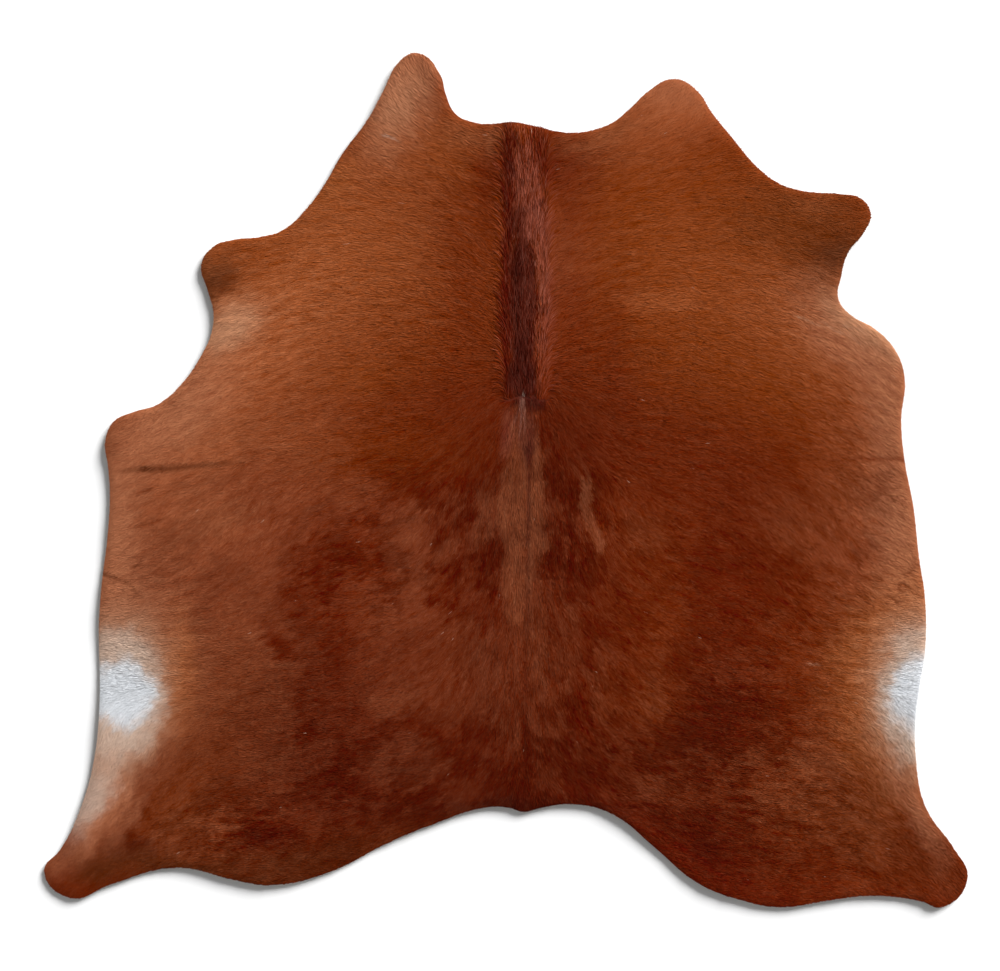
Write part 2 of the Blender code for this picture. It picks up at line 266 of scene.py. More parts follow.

# How far the nap stands up and shows a painted sheen: 0 lies smooth, 1 shows the painted sheen plainly.
NAP_GROUND = 0.08
NAP = (
    Patch("left shoulder", -0.40, 0.56, 0.24, 0.19, 0, 1.02, 0.95),
    Patch("left of the withers", -0.12, 0.45, 0.25, 0.10, 90, 0.14, 0.85),
    Patch("left of the crest", -0.13, 0.74, 0.08, 0.05, 0, 0.48, 0.80),
    Patch("beside the crest", -0.035, 0.69, 0.10, 0.026, 90, 0.05, 0.85),
    Patch("inside of the left shoulder", -0.23, 0.56, 0.14, 0.07, 90, 0.85, 0.70),
    Patch("right shoulder", 0.42, 0.46, 0.22, 0.20, 0, 0.50, 0.90),
    Patch("right chest, inner", 0.575, 0.41, 0.060, 0.050, 0, 0.75, 0.70),
    Patch("right of the crest", 0.11, 0.73, 0.09, 0.06, 0, 0.05, 0.80),
    Patch("right of the neck", 0.27, 0.75, 0.09, 0.05, 0, 0.80, 0.80),
    Patch("right of the withers", 0.14, 0.50, 0.09, 0.05, 90, 0.60, 0.80),
    Patch("behind the right shoulder", 0.22, 0.33, 0.14, 0.10, 0, 0.10, 0.80),
    Patch("cloud of the right shoulder", 0.37, 0.405, 0.080, 0.028, 0, 1.1, 0.80, 1.5),
    Patch("left neck lobe", -0.24, 0.85, 0.13, 0.08, 65, 1.5, 0.90),
    Patch("right neck lobe", 0.38, 0.87, 0.13, 0.07, 0, 1.70, 0.90),
    Patch("left chest", -0.64, 0.27, 0.25, 0.14, 35, 2.1, 0.95),
    Patch("left flank", -0.71, 0.02, 0.28, 0.17, 90, 1.62, 0.95, 1.6),
    Patch("left ribs", -0.50, 0.03, 0.19, 0.12, 75, 0.85, 0.85, 1.6),
    Patch("left side, front", -0.64, 0.09, 0.11, 0.045, 0, 2.0, 0.45),
    Patch("left ribs, rear", -0.36, -0.035, 0.085, 0.035, 0, 0.75, 0.70),
    Patch("left loin", -0.62, -0.34, 0.24, 0.14, 90, 0.88, 0.90, 1.4),
    Patch("left foreleg", -0.62, 0.51, 0.12, 0.065, 20, 0.75, 1.0, 3.0),
    Patch("left foreleg, dark", -0.655, 0.445, 0.050, 0.026, 15, 0.25, 0.90, 2.0),
    Patch("right foreleg", 0.76, 0.52, 0.15, 0.080, -15, 0.16, 0.95, 1.8),
    Patch("right foreleg, front", 0.695, 0.630, 0.060, 0.028, -8, 0.60, 0.80),
    Patch("right chest", 0.77, 0.28, 0.18, 0.080, -35, 1.42, 0.90),
    Patch("right flank", 0.80, 0.00, 0.34, 0.085, 90, 0.82, 0.90, 1.4),
    Patch("right flank, outer", 0.91, -0.02, 0.33, 0.05, 92, 1.9, 0.95),
    Patch("right thigh", 0.74, -0.56, 0.16, 0.10, 90, 0.22, 0.90, 1.4),
    Patch("left thigh", -0.60, -0.66, 0.16, 0.13, 0, 0.36, 0.80),
    Patch("left hind leg", -0.74, -0.80, 0.12, 0.05, 10, 0.62, 0.80),
    Patch("right hind leg", 0.84, -0.79, 0.12, 0.08, -20, 0.45, 0.80),
    Patch("spine, whorl to loin", 0.035, -0.105, 0.255, 0.053, 90, 0.90, 1.0, 4.0),
    Patch("spine, rear", 0.055, -0.50, 0.13, 0.075, 90, 0.32, 0.85, 2.0),
    Patch("nap of the left loin", -0.17, -0.42, 0.19, 0.14, 0, 0.46, 0.95, 3.5),
    Patch("smooth left of the rear spine", -0.10, -0.460, 0.032, 0.030, 0, 0.24, 0.70, 1.5),
    Patch("nap of the tail root", -0.015, -0.550, 0.032, 0.030, 0, 0.50, 0.70, 1.5),
    Patch("nap of the left thigh, front", -0.56, -0.640, 0.055, 0.032, 0, 0.56, 0.70, 1.5),
    Patch("nap of the left loin, crest", -0.25, -0.50, 0.06, 0.03, 20, 0.66, 0.80, 2.5),
    Patch("nap of the left belly", -0.31, -0.27, 0.07, 0.04, 90, 0.46, 0.80, 2.0),
    Patch("nap of the left belly, inner", -0.26, -0.33, 0.07, 0.045, 0, 0.50, 0.80, 2.5),
    Patch("smooth left ribs", -0.14, 0.04, 0.11, 0.10, 0, 0.06, 0.90, 4.0),
    Patch("smooth beside the whorl", -0.105, 0.0, 0.040, 0.030, 0, -0.15, 0.90, 2.0),
    Patch("nap of the left side, middle", -0.65, -0.090, 0.050, 0.035, 0, 2.1, 0.50),
    Patch("smooth left belly", -0.40, -0.23, 0.12, 0.075, 40, 0.12, 0.95, 3.0),
    Patch("nap beside the belly", -0.39, -0.12, 0.05, 0.03, 40, 0.42, 0.60, 2.5),
    Patch("nap left of the spine, front", -0.21, -0.10, 0.05, 0.03, 80, 0.62, 0.90, 3.0),
    Patch("nap left of the spine, rear", -0.23, -0.180, 0.115, 0.050, -68, 0.68, 0.85, 2.8),
    Patch("nap left of the spine, rim", -0.05, -0.09, 0.09, 0.025, 80, 0.58, 0.90, 3.0),
    Patch("smooth left of the spine", -0.13, -0.07, 0.055, 0.035, 0, 0.20, 0.90, 3.5),
    Patch("smooth left of the loin", -0.065, -0.225, 0.075, 0.050, 60, 0.16, 0.95, 3.5),
    Patch("nap left of the spine, middle", -0.150, -0.155, 0.045, 0.030, 0, 0.50, 0.85, 2.0),
    Patch("smooth left of the loin, outer", -0.145, -0.260, 0.040, 0.028, 0, 0.02, 0.85, 2.0),
    Patch("nap of the left belly, rear", -0.24, -0.29, 0.035, 0.060, 0, 0.55, 0.70, 2.0),
    Patch("smooth strip beside the spine", -0.045, -0.31, 0.05, 0.022, 80, 0.05, 0.95, 3.5),
    Patch("smooth left loin, front", -0.52, -0.37, 0.05, 0.022, -50, 0.10, 0.90, 2.8),
    Patch("smooth left loin, rear", -0.47, -0.50, 0.05, 0.020, 80, 0.12, 0.80, 2.8),
    Patch("smooth left haunch", -0.46, -0.575, 0.035, 0.025, 60, 0.02, 1.0, 3.0),
    Patch("smooth left rump", -0.34, -0.645, 0.055, 0.025, -20, 0.02, 1.0, 2.8),
    Patch("smooth left rump, inner", -0.19, -0.56, 0.05, 0.015, -20, 0.08, 0.80, 2.8),
    Patch("nap of the left rump", -0.24, -0.64, 0.10, 0.055, 0, 0.44, 0.80, 2.5),
    Patch("smooth left thigh", -0.53, -0.81, 0.050, 0.035, 20, -0.12, 1.0, 3.0),
    Patch("smooth left thigh, inner", -0.39, -0.82, 0.05, 0.03, 0, 0.02, 1.0, 3.0),
    Patch("smooth left hind leg", -0.84, -0.80, 0.11, 0.035, 60, 0.05, 0.90, 2.0),
    Patch("smooth left of the tail", -0.09, -0.68, 0.06, 0.03, 110, 0.04, 0.90, 2.8),
    Patch("smooth tail", 0.04, -0.68, 0.07, 0.045, 90, 0.03, 1.0, 4.0),
    Patch("nap right of the spine, front", 0.185, -0.045, 0.045, 0.014, 95, 1.15, 0.95, 3.0),
    Patch("nap right of the spine, rear", 0.203, -0.130, 0.07, 0.013, 103, 0.80, 0.95, 3.0),
    Patch("nap of the right ribs", 0.32, -0.12, 0.060, 0.035, -30, 0.50, 0.80, 2.8),
    Patch("smooth right of the spine", 0.16, -0.17, 0.09, 0.03, 95, 0.05, 0.95, 3.5),
    Patch("smooth right ribs", 0.26, -0.21, 0.06, 0.05, 0, 0.07, 0.80, 3.5),
    Patch("smooth right belly", 0.45, -0.22, 0.06, 0.040, 60, -0.10, 1.0, 2.8),
    Patch("smooth right belly, outer", 0.57, -0.23, 0.08, 0.040, -20, 0.0, 1.0, 2.8),
    Patch("nap of the right belly", 0.59, -0.32, 0.06, 0.02, 10, 0.36, 0.80, 2.8),
    Patch("smooth right belly, rear", 0.54, -0.27, 0.09, 0.06, 90, -0.10, 0.90, 2.0),
    Patch("nap of the right side", 0.68, -0.12, 0.12, 0.06, -35, 0.60, 0.80, 2.0),
    Patch("nap beside the rear spine", 0.14, -0.38, 0.10, 0.03, 90, 0.38, 0.80, 3.0),
    Patch("nap beside the rear spine, inner", 0.077, -0.36, 0.11, 0.025, 90, 0.62, 0.80, 2.5),
    Patch("nap of the right haunch", 0.22, -0.46, 0.09, 0.035, 90, 0.34, 0.80, 2.5),
    Patch("nap of the right loin", 0.34, -0.46, 0.06, 0.035, 100, 0.38, 0.85, 2.8),
    Patch("nap of the right loin, rear", 0.37, -0.52, 0.07, 0.018, 0, 0.46, 0.85, 2.8),
    Patch("smooth right of the tail", 0.17, -0.53, 0.065, 0.035, 90, -0.12, 0.95, 3.0),
    Patch("smooth right rump", 0.52, -0.55, 0.13, 0.060, -12, -0.25, 1.0, 3.0),
    Patch("smooth right rump, outer", 0.62, -0.57, 0.06, 0.03, 5, 0.06, 0.90, 3.0),
    Patch("nap of the right rump, outer", 0.57, -0.63, 0.07, 0.02, 20, 0.30, 0.80, 2.0),
    Patch("smooth right rump, rear", 0.45, -0.67, 0.05, 0.02, 0, 0.05, 0.90, 2.8),
    Patch("smooth right buttock", 0.25, -0.68, 0.06, 0.05, 0, 0.06, 0.80, 2.8),
    Patch("nap of the right rump", 0.33, -0.70, 0.07, 0.03, 0, 0.34, 0.80, 2.8),
    Patch("nap of the right thigh, front", 0.72, -0.645, 0.070, 0.040, 0, 0.80, 0.80, 1.5),
    Patch("nap of the right thigh, middle", 0.66, -0.730, 0.110, 0.038, 0, 0.45, 0.75, 1.5),
    Patch("smooth right thigh, inner", 0.37, -0.79, 0.05, 0.025, -20, 0.02, 1.0, 3.0),
    Patch("smooth right thigh", 0.49, -0.83, 0.07, 0.045, -20, 0.02, 1.0, 3.0),
    Patch("smooth right hind leg", 0.92, -0.79, 0.05, 0.03, -20, 0.05, 0.90, 2.8),
    # The nap lies flat along the rear rim, so no painted sheen lightens its painted shade.
    Patch("rear rim", -0.02, -0.765, 0.30, 0.035, 0, 0.0, 0.90),
    Patch("rear rim, left", -0.46, -0.880, 0.26, 0.050, 16, 0.05, 0.90),
    Patch("rear rim, right", 0.52, -0.930, 0.26, 0.040, -30, 0.05, 0.90),
    Patch("rear rim of the left leg", -0.72, -0.885, 0.20, 0.035, -3, 0.0, 0.90),
    Patch("smooth right thigh, rear", 0.47, -0.85, 0.15, 0.060, -15, -0.15, 0.85),
)

# How strongly the nap breaks up into clouds.
CLOUDS_GROUND = 0.03
CLOUDS = (
    Patch("back", -0.01, -0.36, 0.76, 0.38, 0, 0.10, 1.0, 3.0),
    Patch("left of the spine", -0.22, -0.16, 0.26, 0.17, 0, 0.26, 0.90, 2.0),
    Patch("right of the spine", 0.18, -0.13, 0.12, 0.15, 0, 0.30, 0.90, 2.0),
    Patch("left flank", -0.74, -0.08, 0.20, 0.16, 90, 0.22, 0.90),
    Patch("right flank", 0.83, -0.10, 0.20, 0.10, 90, 0.34, 0.90),
    Patch("right belly", 0.56, -0.20, 0.20, 0.10, 0, 0.18, 0.80),
    Patch("left rump", -0.26, -0.70, 0.26, 0.12, 0, 0.22, 0.90),
    Patch("beside the tail", 0.15, -0.57, 0.10, 0.12, 0, 0.24, 0.80),
    Patch("right rump", 0.49, -0.62, 0.28, 0.17, 0, 0.22, 0.90),
    Patch("left thigh", -0.64, -0.79, 0.18, 0.10, 0, 0.28, 0.90),
    Patch("right thigh", 0.72, -0.78, 0.22, 0.14, 0, 0.26, 0.90),
    Patch("spine", 0.036, -0.09, 0.27, 0.058, 90, 0.22, 1.0, 3.0),
)

# How lively the single hairs stand out.
LIVELY_GROUND = 0.18
LIVELY = (
    Patch("shoulders", 0.04, 0.55, 0.74, 0.34, 0, 0.42, 0.95, 1.5),
    Patch("back", 0.00, -0.33, 0.80, 0.46, 0, 0.62, 0.90, 1.5),
    Patch("left chest", -0.66, 0.30, 0.22, 0.12, 35, 1.15, 0.95),
    Patch("right chest", 0.82, 0.30, 0.18, 0.12, -30, 0.90, 0.90),
    Patch("left flank", -0.68, -0.05, 0.40, 0.24, 90, 0.70, 0.90),
    Patch("right flank", 0.88, -0.15, 0.50, 0.13, 90, 0.85, 0.90),
    Patch("left thigh", -0.66, -0.82, 0.20, 0.12, 0, 0.90, 0.90),
    Patch("right thigh", 0.66, -0.74, 0.30, 0.18, 0, 0.80, 0.90),
    Patch("spine", 0.045, -0.10, 0.30, 0.06, 90, 0.55, 0.90, 2.0),
    Patch("mane", 0.045, 0.50, 0.33, 0.05, 90, 1.0, 0.90, 2.0),
)

# Hair without colour, where the belly and the groin begin.
PALE = (
    Patch("left neck lobe", -0.232, 0.868, 0.118, 0.062, 62, Tone.TAN, 0.78, 1.5),
    Patch("left neck lobe, pale hair", -0.240, 0.860, 0.090, 0.035, 65, Tone.WHEAT, 0.40),
    Patch("right neck lobe", 0.37, 0.89, 0.09, 0.035, 0, Tone.SAND, 0.15),
    Patch("neck, left rim", -0.09, 0.785, 0.06, 0.025, 0, Tone.GINGER, 0.45),
    Patch("neck, right rim", 0.23, 0.785, 0.08, 0.022, 15, Tone.GINGER, 0.45),
    Patch("left shoulder, front rim", -0.385, 0.675, 0.055, 0.020, 50, Tone.HONEY, 0.35),
    Patch("left chest, rim", -0.645, 0.338, 0.085, 0.045, 30, Tone.WHEAT, 0.90, 1.5),
    Patch("left armpit", -0.75, 0.16, 0.16, 0.075, 45, Tone.TAN, 0.80, 1.5),
    Patch("left corner", -0.895, 0.085, 0.035, 0.022, 90, Tone.UMBER, 0.60),
    Patch("left flank, rim", -0.89, -0.12, 0.19, 0.055, 90, Tone.TAN, 0.88, 1.3),
    Patch("right armpit", 0.80, 0.335, 0.14, 0.072, -35, Tone.TAN, 0.97, 1.5),
    Patch("right chest, rim", 0.875, 0.18, 0.18, 0.060, 95, Tone.TAN, 0.85, 1.3),
    Patch("right armpit, sand", 0.865, 0.330, 0.08, 0.026, -35, Tone.WHEAT, 0.75),
    Patch("right armpit, front", 0.790, 0.362, 0.065, 0.024, -40, Tone.WHEAT, 0.80),
    Patch("right flank, rim", 0.905, -0.15, 0.20, 0.060, 93, Tone.TAN, 0.88, 1.3),
    Patch("left groin, tan", -0.88, -0.43, 0.21, 0.160, 88, Tone.TAN, 0.80, 2.0),
    Patch("left groin, inner edge", -0.745, -0.440, 0.110, 0.040, 88, Tone.HONEY, 0.42, 1.5),
    Patch("left hind leg, rim", -0.9145, -0.742, 0.110, 0.034, 62, Tone.TAN, 0.85, 2.0),
    Patch("left hind leg, shin", -0.865, -0.775, 0.070, 0.030, 60, Tone.TAN, 0.40, 2.0),
    Patch("left hind leg, pale rim", -0.935, -0.690, 0.12, 0.040, 65, Tone.CREAM, 0.80, 2.0),
    Patch("left groin, sand", -0.888, -0.485, 0.180, 0.122, 80, Tone.SAND, 0.90, 3.0),
    Patch("left groin, cream", -0.892, -0.492, 0.145, 0.103, 82, Tone.CREAM, 0.95, 4.0),
    Patch("left groin, white", -0.880, -0.488, 0.082, 0.070, 0, Tone.SILVER, 1.0, 4.0),
    Patch("left groin, bulge", -0.785, -0.500, 0.030, 0.020, 90, Tone.CREAM, 0.50, 2.0),
    Patch("left hind leg, tip", -1.02, -0.87, 0.045, 0.030, 40, Tone.TAN, 0.35),
    Patch("right groin, tan", 0.95, -0.465, 0.218, 0.180, 90, Tone.HONEY, 0.88, 2.0),
    Patch("right groin, sand", 0.95, -0.478, 0.188, 0.130, 90, Tone.SAND, 0.90, 3.0),
    Patch("right groin, cream", 0.95, -0.490, 0.150, 0.098, 90, Tone.CREAM, 0.95, 4.0),
    Patch("right groin, white", 0.95, -0.495, 0.100, 0.070, 90, Tone.SILVER, 1.0, 4.0),
    Patch("right groin, rear", 0.905, -0.600, 0.040, 0.025, 90, Tone.CREAM, 0.60),
    Patch("right flank, dark curls", 0.858, -0.020, 0.050, 0.030, 90, Tone.UMBER, 0.55),
    Patch("right hind leg, rim", 0.935, -0.755, 0.090, 0.022, -63, Tone.TAN, 0.75),
)

# The mane, from the whorl on the spine to the neck.
MANE = (
    Patch("left strip", 0.000, 0.40, 0.22, 0.017, 90, Tone.OXBLOOD, 0.95, 3.0),
    Patch("left of the crest", 0.005, 0.70, 0.130, 0.018, 92, Tone.MAROON, 0.85, 2.0),
    Patch("left of the crest, pale", -0.034, 0.770, 0.030, 0.011, 90, Tone.GINGER, 0.45),
    Patch("right of the crest", 0.085, 0.74, 0.070, 0.022, 95, Tone.MAROON, 0.55, 1.5),
    # Painted light: the mane's right side is lightened as if lit from the right.
    Patch("painted light on the right side", 0.088, 0.485, 0.165, 0.020, 92, Tone.DUSK, 0.65, 2.0),
    Patch("right side, rear, painted light", 0.084, 0.29, 0.080, 0.014, 90, Tone.DUSK, 0.30, 1.2),
    Patch("core", 0.042, 0.395, 0.205, 0.031, 90, Tone.PLUM, 0.95, 4.0),
    Patch("core, left", 0.024, 0.430, 0.100, 0.013, 90, Tone.INK, 0.40, 2.0),
    Patch("core, dark by the withers", 0.024, 0.495, 0.040, 0.016, 90, Tone.INK, 0.60, 2.0),
    Patch("crest", 0.046, 0.665, 0.105, 0.028, 94, Tone.DUSK, 0.68, 3.0),
    Patch("crest, rear", 0.062, 0.590, 0.050, 0.030, 90, Tone.DUSK, 0.60, 2.0),
    Patch("core, front", 0.022, 0.585, 0.045, 0.018, 80, Tone.PLUM, 0.80, 2.0),
    Patch("dark tuft, front", 0.036, 0.300, 0.030, 0.020, 90, Tone.INK, 0.75, 2.0),
    Patch("dark tuft, left", 0.018, 0.240, 0.032, 0.018, 75, Tone.INK, 0.90, 2.0),
    Patch("dark tuft, right", 0.053, 0.238, 0.030, 0.016, 100, Tone.INK, 0.90, 2.0),
    Patch("dark ring of the whorl", 0.035, 0.213, 0.037, 0.019, 0, Tone.PLUM, 0.88, 3.0),
    Patch("dark tuft by the whorl", 0.070, 0.175, 0.022, 0.014, -10, Tone.INK, 0.75, 2.0),
    Patch("grey behind the whorl", 0.044, 0.105, 0.055, 0.021, 90, Tone.SMOKE, 0.75, 2.0),
    # Painted sheen of raised nap, left of the grey.
    Patch("dust left of the grey", 0.003, 0.105, 0.050, 0.016, 80, Tone.DUSK, 0.50, 2.0),
    Patch("rear of the whorl", 0.046, 0.176, 0.032, 0.014, 0, Tone.PLUM, 0.85, 2.0),
)

# Creases and wrinkles in painted shade, curls, single locks and white hairs.
LINES = (
    Line("whorl, first strand", ((0.039, 0.192), (0.030, 0.160), (0.014, 0.120)),
         0.0018, Tone.ASH, 0.50),
    Line("whorl, second strand", ((0.040, 0.192), (0.035, 0.150), (0.030, 0.095)),
         0.0018, Tone.ASH, 0.60),
    Line("whorl, third strand", ((0.040, 0.192), (0.042, 0.160), (0.042, 0.105)),
         0.0016, Tone.ASH, 0.55),
    Line("whorl, dark gap", ((0.045, 0.180), (0.037, 0.150), (0.036, 0.090)), 0.0016, Tone.PLUM, 0.55),
    Line("whorl, point", ((0.040, 0.198), (0.039, 0.190)), 0.0024, Tone.CREAM, 0.55),
    Line("spine", ((0.050, 0.070), (0.052, 0.010)), 0.009, Tone.PLUM, 0.90, 0.0004),
    Line("spine, middle", ((0.052, 0.010), (0.050, -0.115), (0.048, -0.36)),
         0.0038, Tone.PLUM, 0.65, 0.0004),
    Line("spine, rear", ((0.043, -0.72), (0.043, -0.60), (0.045, -0.36)),
         0.006, Tone.MAROON, 0.75, 0.0004),
    Line("first dark lock of the crest", ((0.016, 0.790), (0.034, 0.746)),
         0.005, Tone.PLUM, 0.80, 0.0004),
    Line("second dark lock of the crest", ((0.008, 0.716), (0.034, 0.668)),
         0.005, Tone.PLUM, 0.80, 0.0004),
    Line("third dark lock of the crest", ((0.088, 0.636), (0.034, 0.600)),
         0.0035, Tone.PLUM, 0.75, 0.0004),
    Line("break in the mane", ((0.055, 0.415), (0.098, 0.412)), 0.004, Tone.PLUM, 0.60, 0.0004),
    # Painted shade in the creases and wrinkles, over the small troughs that their depth makes.
    Line("left belly crease", ((-0.826, 0.023), (-0.776, 0.024), (-0.605, 0.039)),
         0.0062, Tone.BARK, 1.0, 0.0014),
    Line("left belly crease, rim", ((-0.826, 0.023), (-0.895, 0.018)), 0.005, Tone.BARK, 0.65, 0.0010),
    Line("right belly crease", ((0.905, 0.046), (0.82, 0.048), (0.74, 0.043)),
         0.005, Tone.RUSSET, 0.60, 0.0008),
    Line("right side wrinkle", ((0.528, -0.093), (0.669, -0.093)), 0.004, Tone.MAHOGANY, 0.45, 0.0004),
    Line("first left wrinkle", ((-0.810, -0.023), (-0.855, -0.036)), 0.003, Tone.UMBER, 0.70, 0.0005),
    Line("second left wrinkle", ((-0.842, -0.107), (-0.776, -0.089)), 0.003, Tone.UMBER, 0.70, 0.0005),
    Line("third left wrinkle", ((-0.849, -0.200), (-0.826, -0.189)), 0.003, Tone.UMBER, 0.70, 0.0005),
    Line("left curl", ((-0.922, -0.210), (-0.862, -0.234), (-0.826, -0.273)),
         0.0035, Tone.BARK, 0.75, 0.0006),
    Line("right curl", ((0.869, -0.262), (0.890, -0.278), (0.912, -0.276)),
         0.003, Tone.UMBER, 0.75, 0.0005),
    Line("right curl, rim", ((0.908, -0.218), (0.945, -0.190)), 0.003, Tone.UMBER, 0.70, 0.0005),
    Line("white hair, left neck", ((-0.280, 0.784), (-0.262, 0.780), (-0.244, 0.770)),
         0.0016, Tone.CREAM, 0.55),
    Line("white hair, right chest", ((0.662, 0.371), (0.680, 0.367), (0.700, 0.355), (0.728, 0.346)),
         0.0017, Tone.SAND, 0.75),
    Line("white hair, right armpit", ((0.722, 0.358), (0.752, 0.336), (0.790, 0.325), (0.812, 0.300)),
         0.0015, Tone.SAND, 0.60),
    Line("white hair, right rim", ((0.770, 0.352), (0.805, 0.340), (0.842, 0.336)),
         0.0015, Tone.SAND, 0.60),
    Line("white hair, right flank", ((0.686, -0.418), (0.714, -0.421)), 0.0015, Tone.SAND, 0.60),
    Line("lock on the dusty side", ((0.064, 0.382), (0.105, 0.390)), 0.007, Tone.PLUM, 0.55),
    Line("second dark lock, dusty side", ((0.058, 0.335), (0.096, 0.315)), 0.008, Tone.PLUM, 0.55),
    Line("fourth dark lock of the crest", ((0.020, 0.640), (0.050, 0.700)),
         0.003, Tone.PLUM, 0.60, 0.0004),
    Line("right curl, ring",
         ((0.914, -0.246), (0.903, -0.235), (0.892, -0.246), (0.903, -0.257), (0.914, -0.246)),
         0.0025, Tone.UMBER, 0.80, 0.0005),
)

# How the hair is combed beside the spine; behind the shoulders it sweeps to the rear.
STROKES = (
    Stroke(0.10, 0.80, 5), Stroke(0.20, 0.80, 30), Stroke(0.27, 0.92, 60), Stroke(0.36, 0.84, 40),
    Stroke(0.06, 0.66, 35), Stroke(0.06, 0.50, 42), Stroke(0.06, 0.34, 30), Stroke(0.14, 0.68, 14),
    Stroke(0.14, 0.45, 16), Stroke(0.14, 0.26, 4), Stroke(0.26, 0.68, 16), Stroke(0.26, 0.50, 3),
    Stroke(0.26, 0.28, -2), Stroke(0.40, 0.66, 8), Stroke(0.40, 0.48, -5), Stroke(0.40, 0.28, -12),
    Stroke(0.55, 0.58, -16), Stroke(0.55, 0.42, -14), Stroke(0.55, 0.26, -20), Stroke(0.70, 0.60, -6),
    Stroke(0.68, 0.40, -25), Stroke(0.70, 0.24, -32), Stroke(0.82, 0.30, -42), Stroke(0.84, 0.12, -34),
    Stroke(0.06, 0.12, -78), Stroke(0.14, 0.10, -40), Stroke(0.26, 0.10, -5), Stroke(0.42, 0.08, -14),
    Stroke(0.58, 0.10, -12), Stroke(0.72, 0.05, -26), Stroke(0.07, -0.10, -87), Stroke(0.16, -0.10, -78),
    Stroke(0.26, -0.10, -38), Stroke(0.38, -0.12, -13), Stroke(0.52, -0.10, -42), Stroke(0.68, -0.10, -50),
    Stroke(0.84, -0.08, -32), Stroke(0.08, -0.30, -76), Stroke(0.18, -0.30, -38), Stroke(0.30, -0.28, -24),
    Stroke(0.44, -0.28, -12), Stroke(0.60, -0.28, -34), Stroke(0.76, -0.28, -26), Stroke(0.86, -0.30, -20),
    Stroke(0.84, -0.40, 30), Stroke(0.84, -0.56, -62), Stroke(0.08, -0.48, -84), Stroke(0.18, -0.48, -42),
    Stroke(0.32, -0.42, -35), Stroke(0.44, -0.48, -12), Stroke(0.60, -0.48, -12), Stroke(0.74, -0.48, -14),
    Stroke(0.08, -0.66, -62), Stroke(0.20, -0.66, -32), Stroke(0.34, -0.64, -10), Stroke(0.50, -0.64, -8),
    Stroke(0.68, -0.64, -8), Stroke(0.82, -0.68, -55), Stroke(0.30, -0.76, -25), Stroke(0.50, -0.80, -14),
    Stroke(0.70, -0.80, -2), Stroke(0.84, -0.80, -25), Stroke(0.96, -0.84, -55), Stroke(0.60, -0.92, -5),
    Stroke(0.90, -0.92, -25),
)


@dataclass(frozen=True)
class Cloud:
    """Smooth noise over the hide, from about -1 to 1, the same on every run."""

    seed: int
    size: float
    cells: ClassVar[int] = 97
    gain: ClassVar[float] = 1.5

    def at(self, points: Array) -> Array:
        """The noise at each place.

        Args:
            points: Places on the hide, one row each.

        Returns:
            One value for each place.
        """
        angles = np.random.default_rng(self.seed).random((self.cells, self.cells)) * math.tau
        place = points / self.size
        cell = np.floor(place).astype(int)
        part = place - cell
        ease = part**3 * (part * (part * 6 - 15) + 10)
        slopes = []
        for dx, dy in ((0, 0), (1, 0), (0, 1), (1, 1)):
            angle = angles[(cell[:, 0] + dx) % self.cells, (cell[:, 1] + dy) % self.cells]
            slopes.append(np.cos(angle) * (part[:, 0] - dx) + np.sin(angle) * (part[:, 1] - dy))
        low = slopes[0] + (slopes[1] - slopes[0]) * ease[:, 0]
        high = slopes[2] + (slopes[3] - slopes[2]) * ease[:, 0]
        return self.gain * (low + (high - low) * ease[:, 1])


def painted(ground: Tone | float, patches: tuple[Patch, ...], points: Array) -> Array:
    """Lay patches over an even ground.

    Args:
        ground: The tone or number where there is no patch.
        patches: The patches, the lowest first.
        points: Places on the hide, one row each.

    Returns:
        A colour or a number for each place.
    """
    start = ground.linear() if isinstance(ground, Tone) else np.array([ground])
    values = np.tile(start, (len(points), 1))
    for patch in patches:
        values = patch.laid_over(values, points)
    return values if len(start) > 1 else values[:, 0]


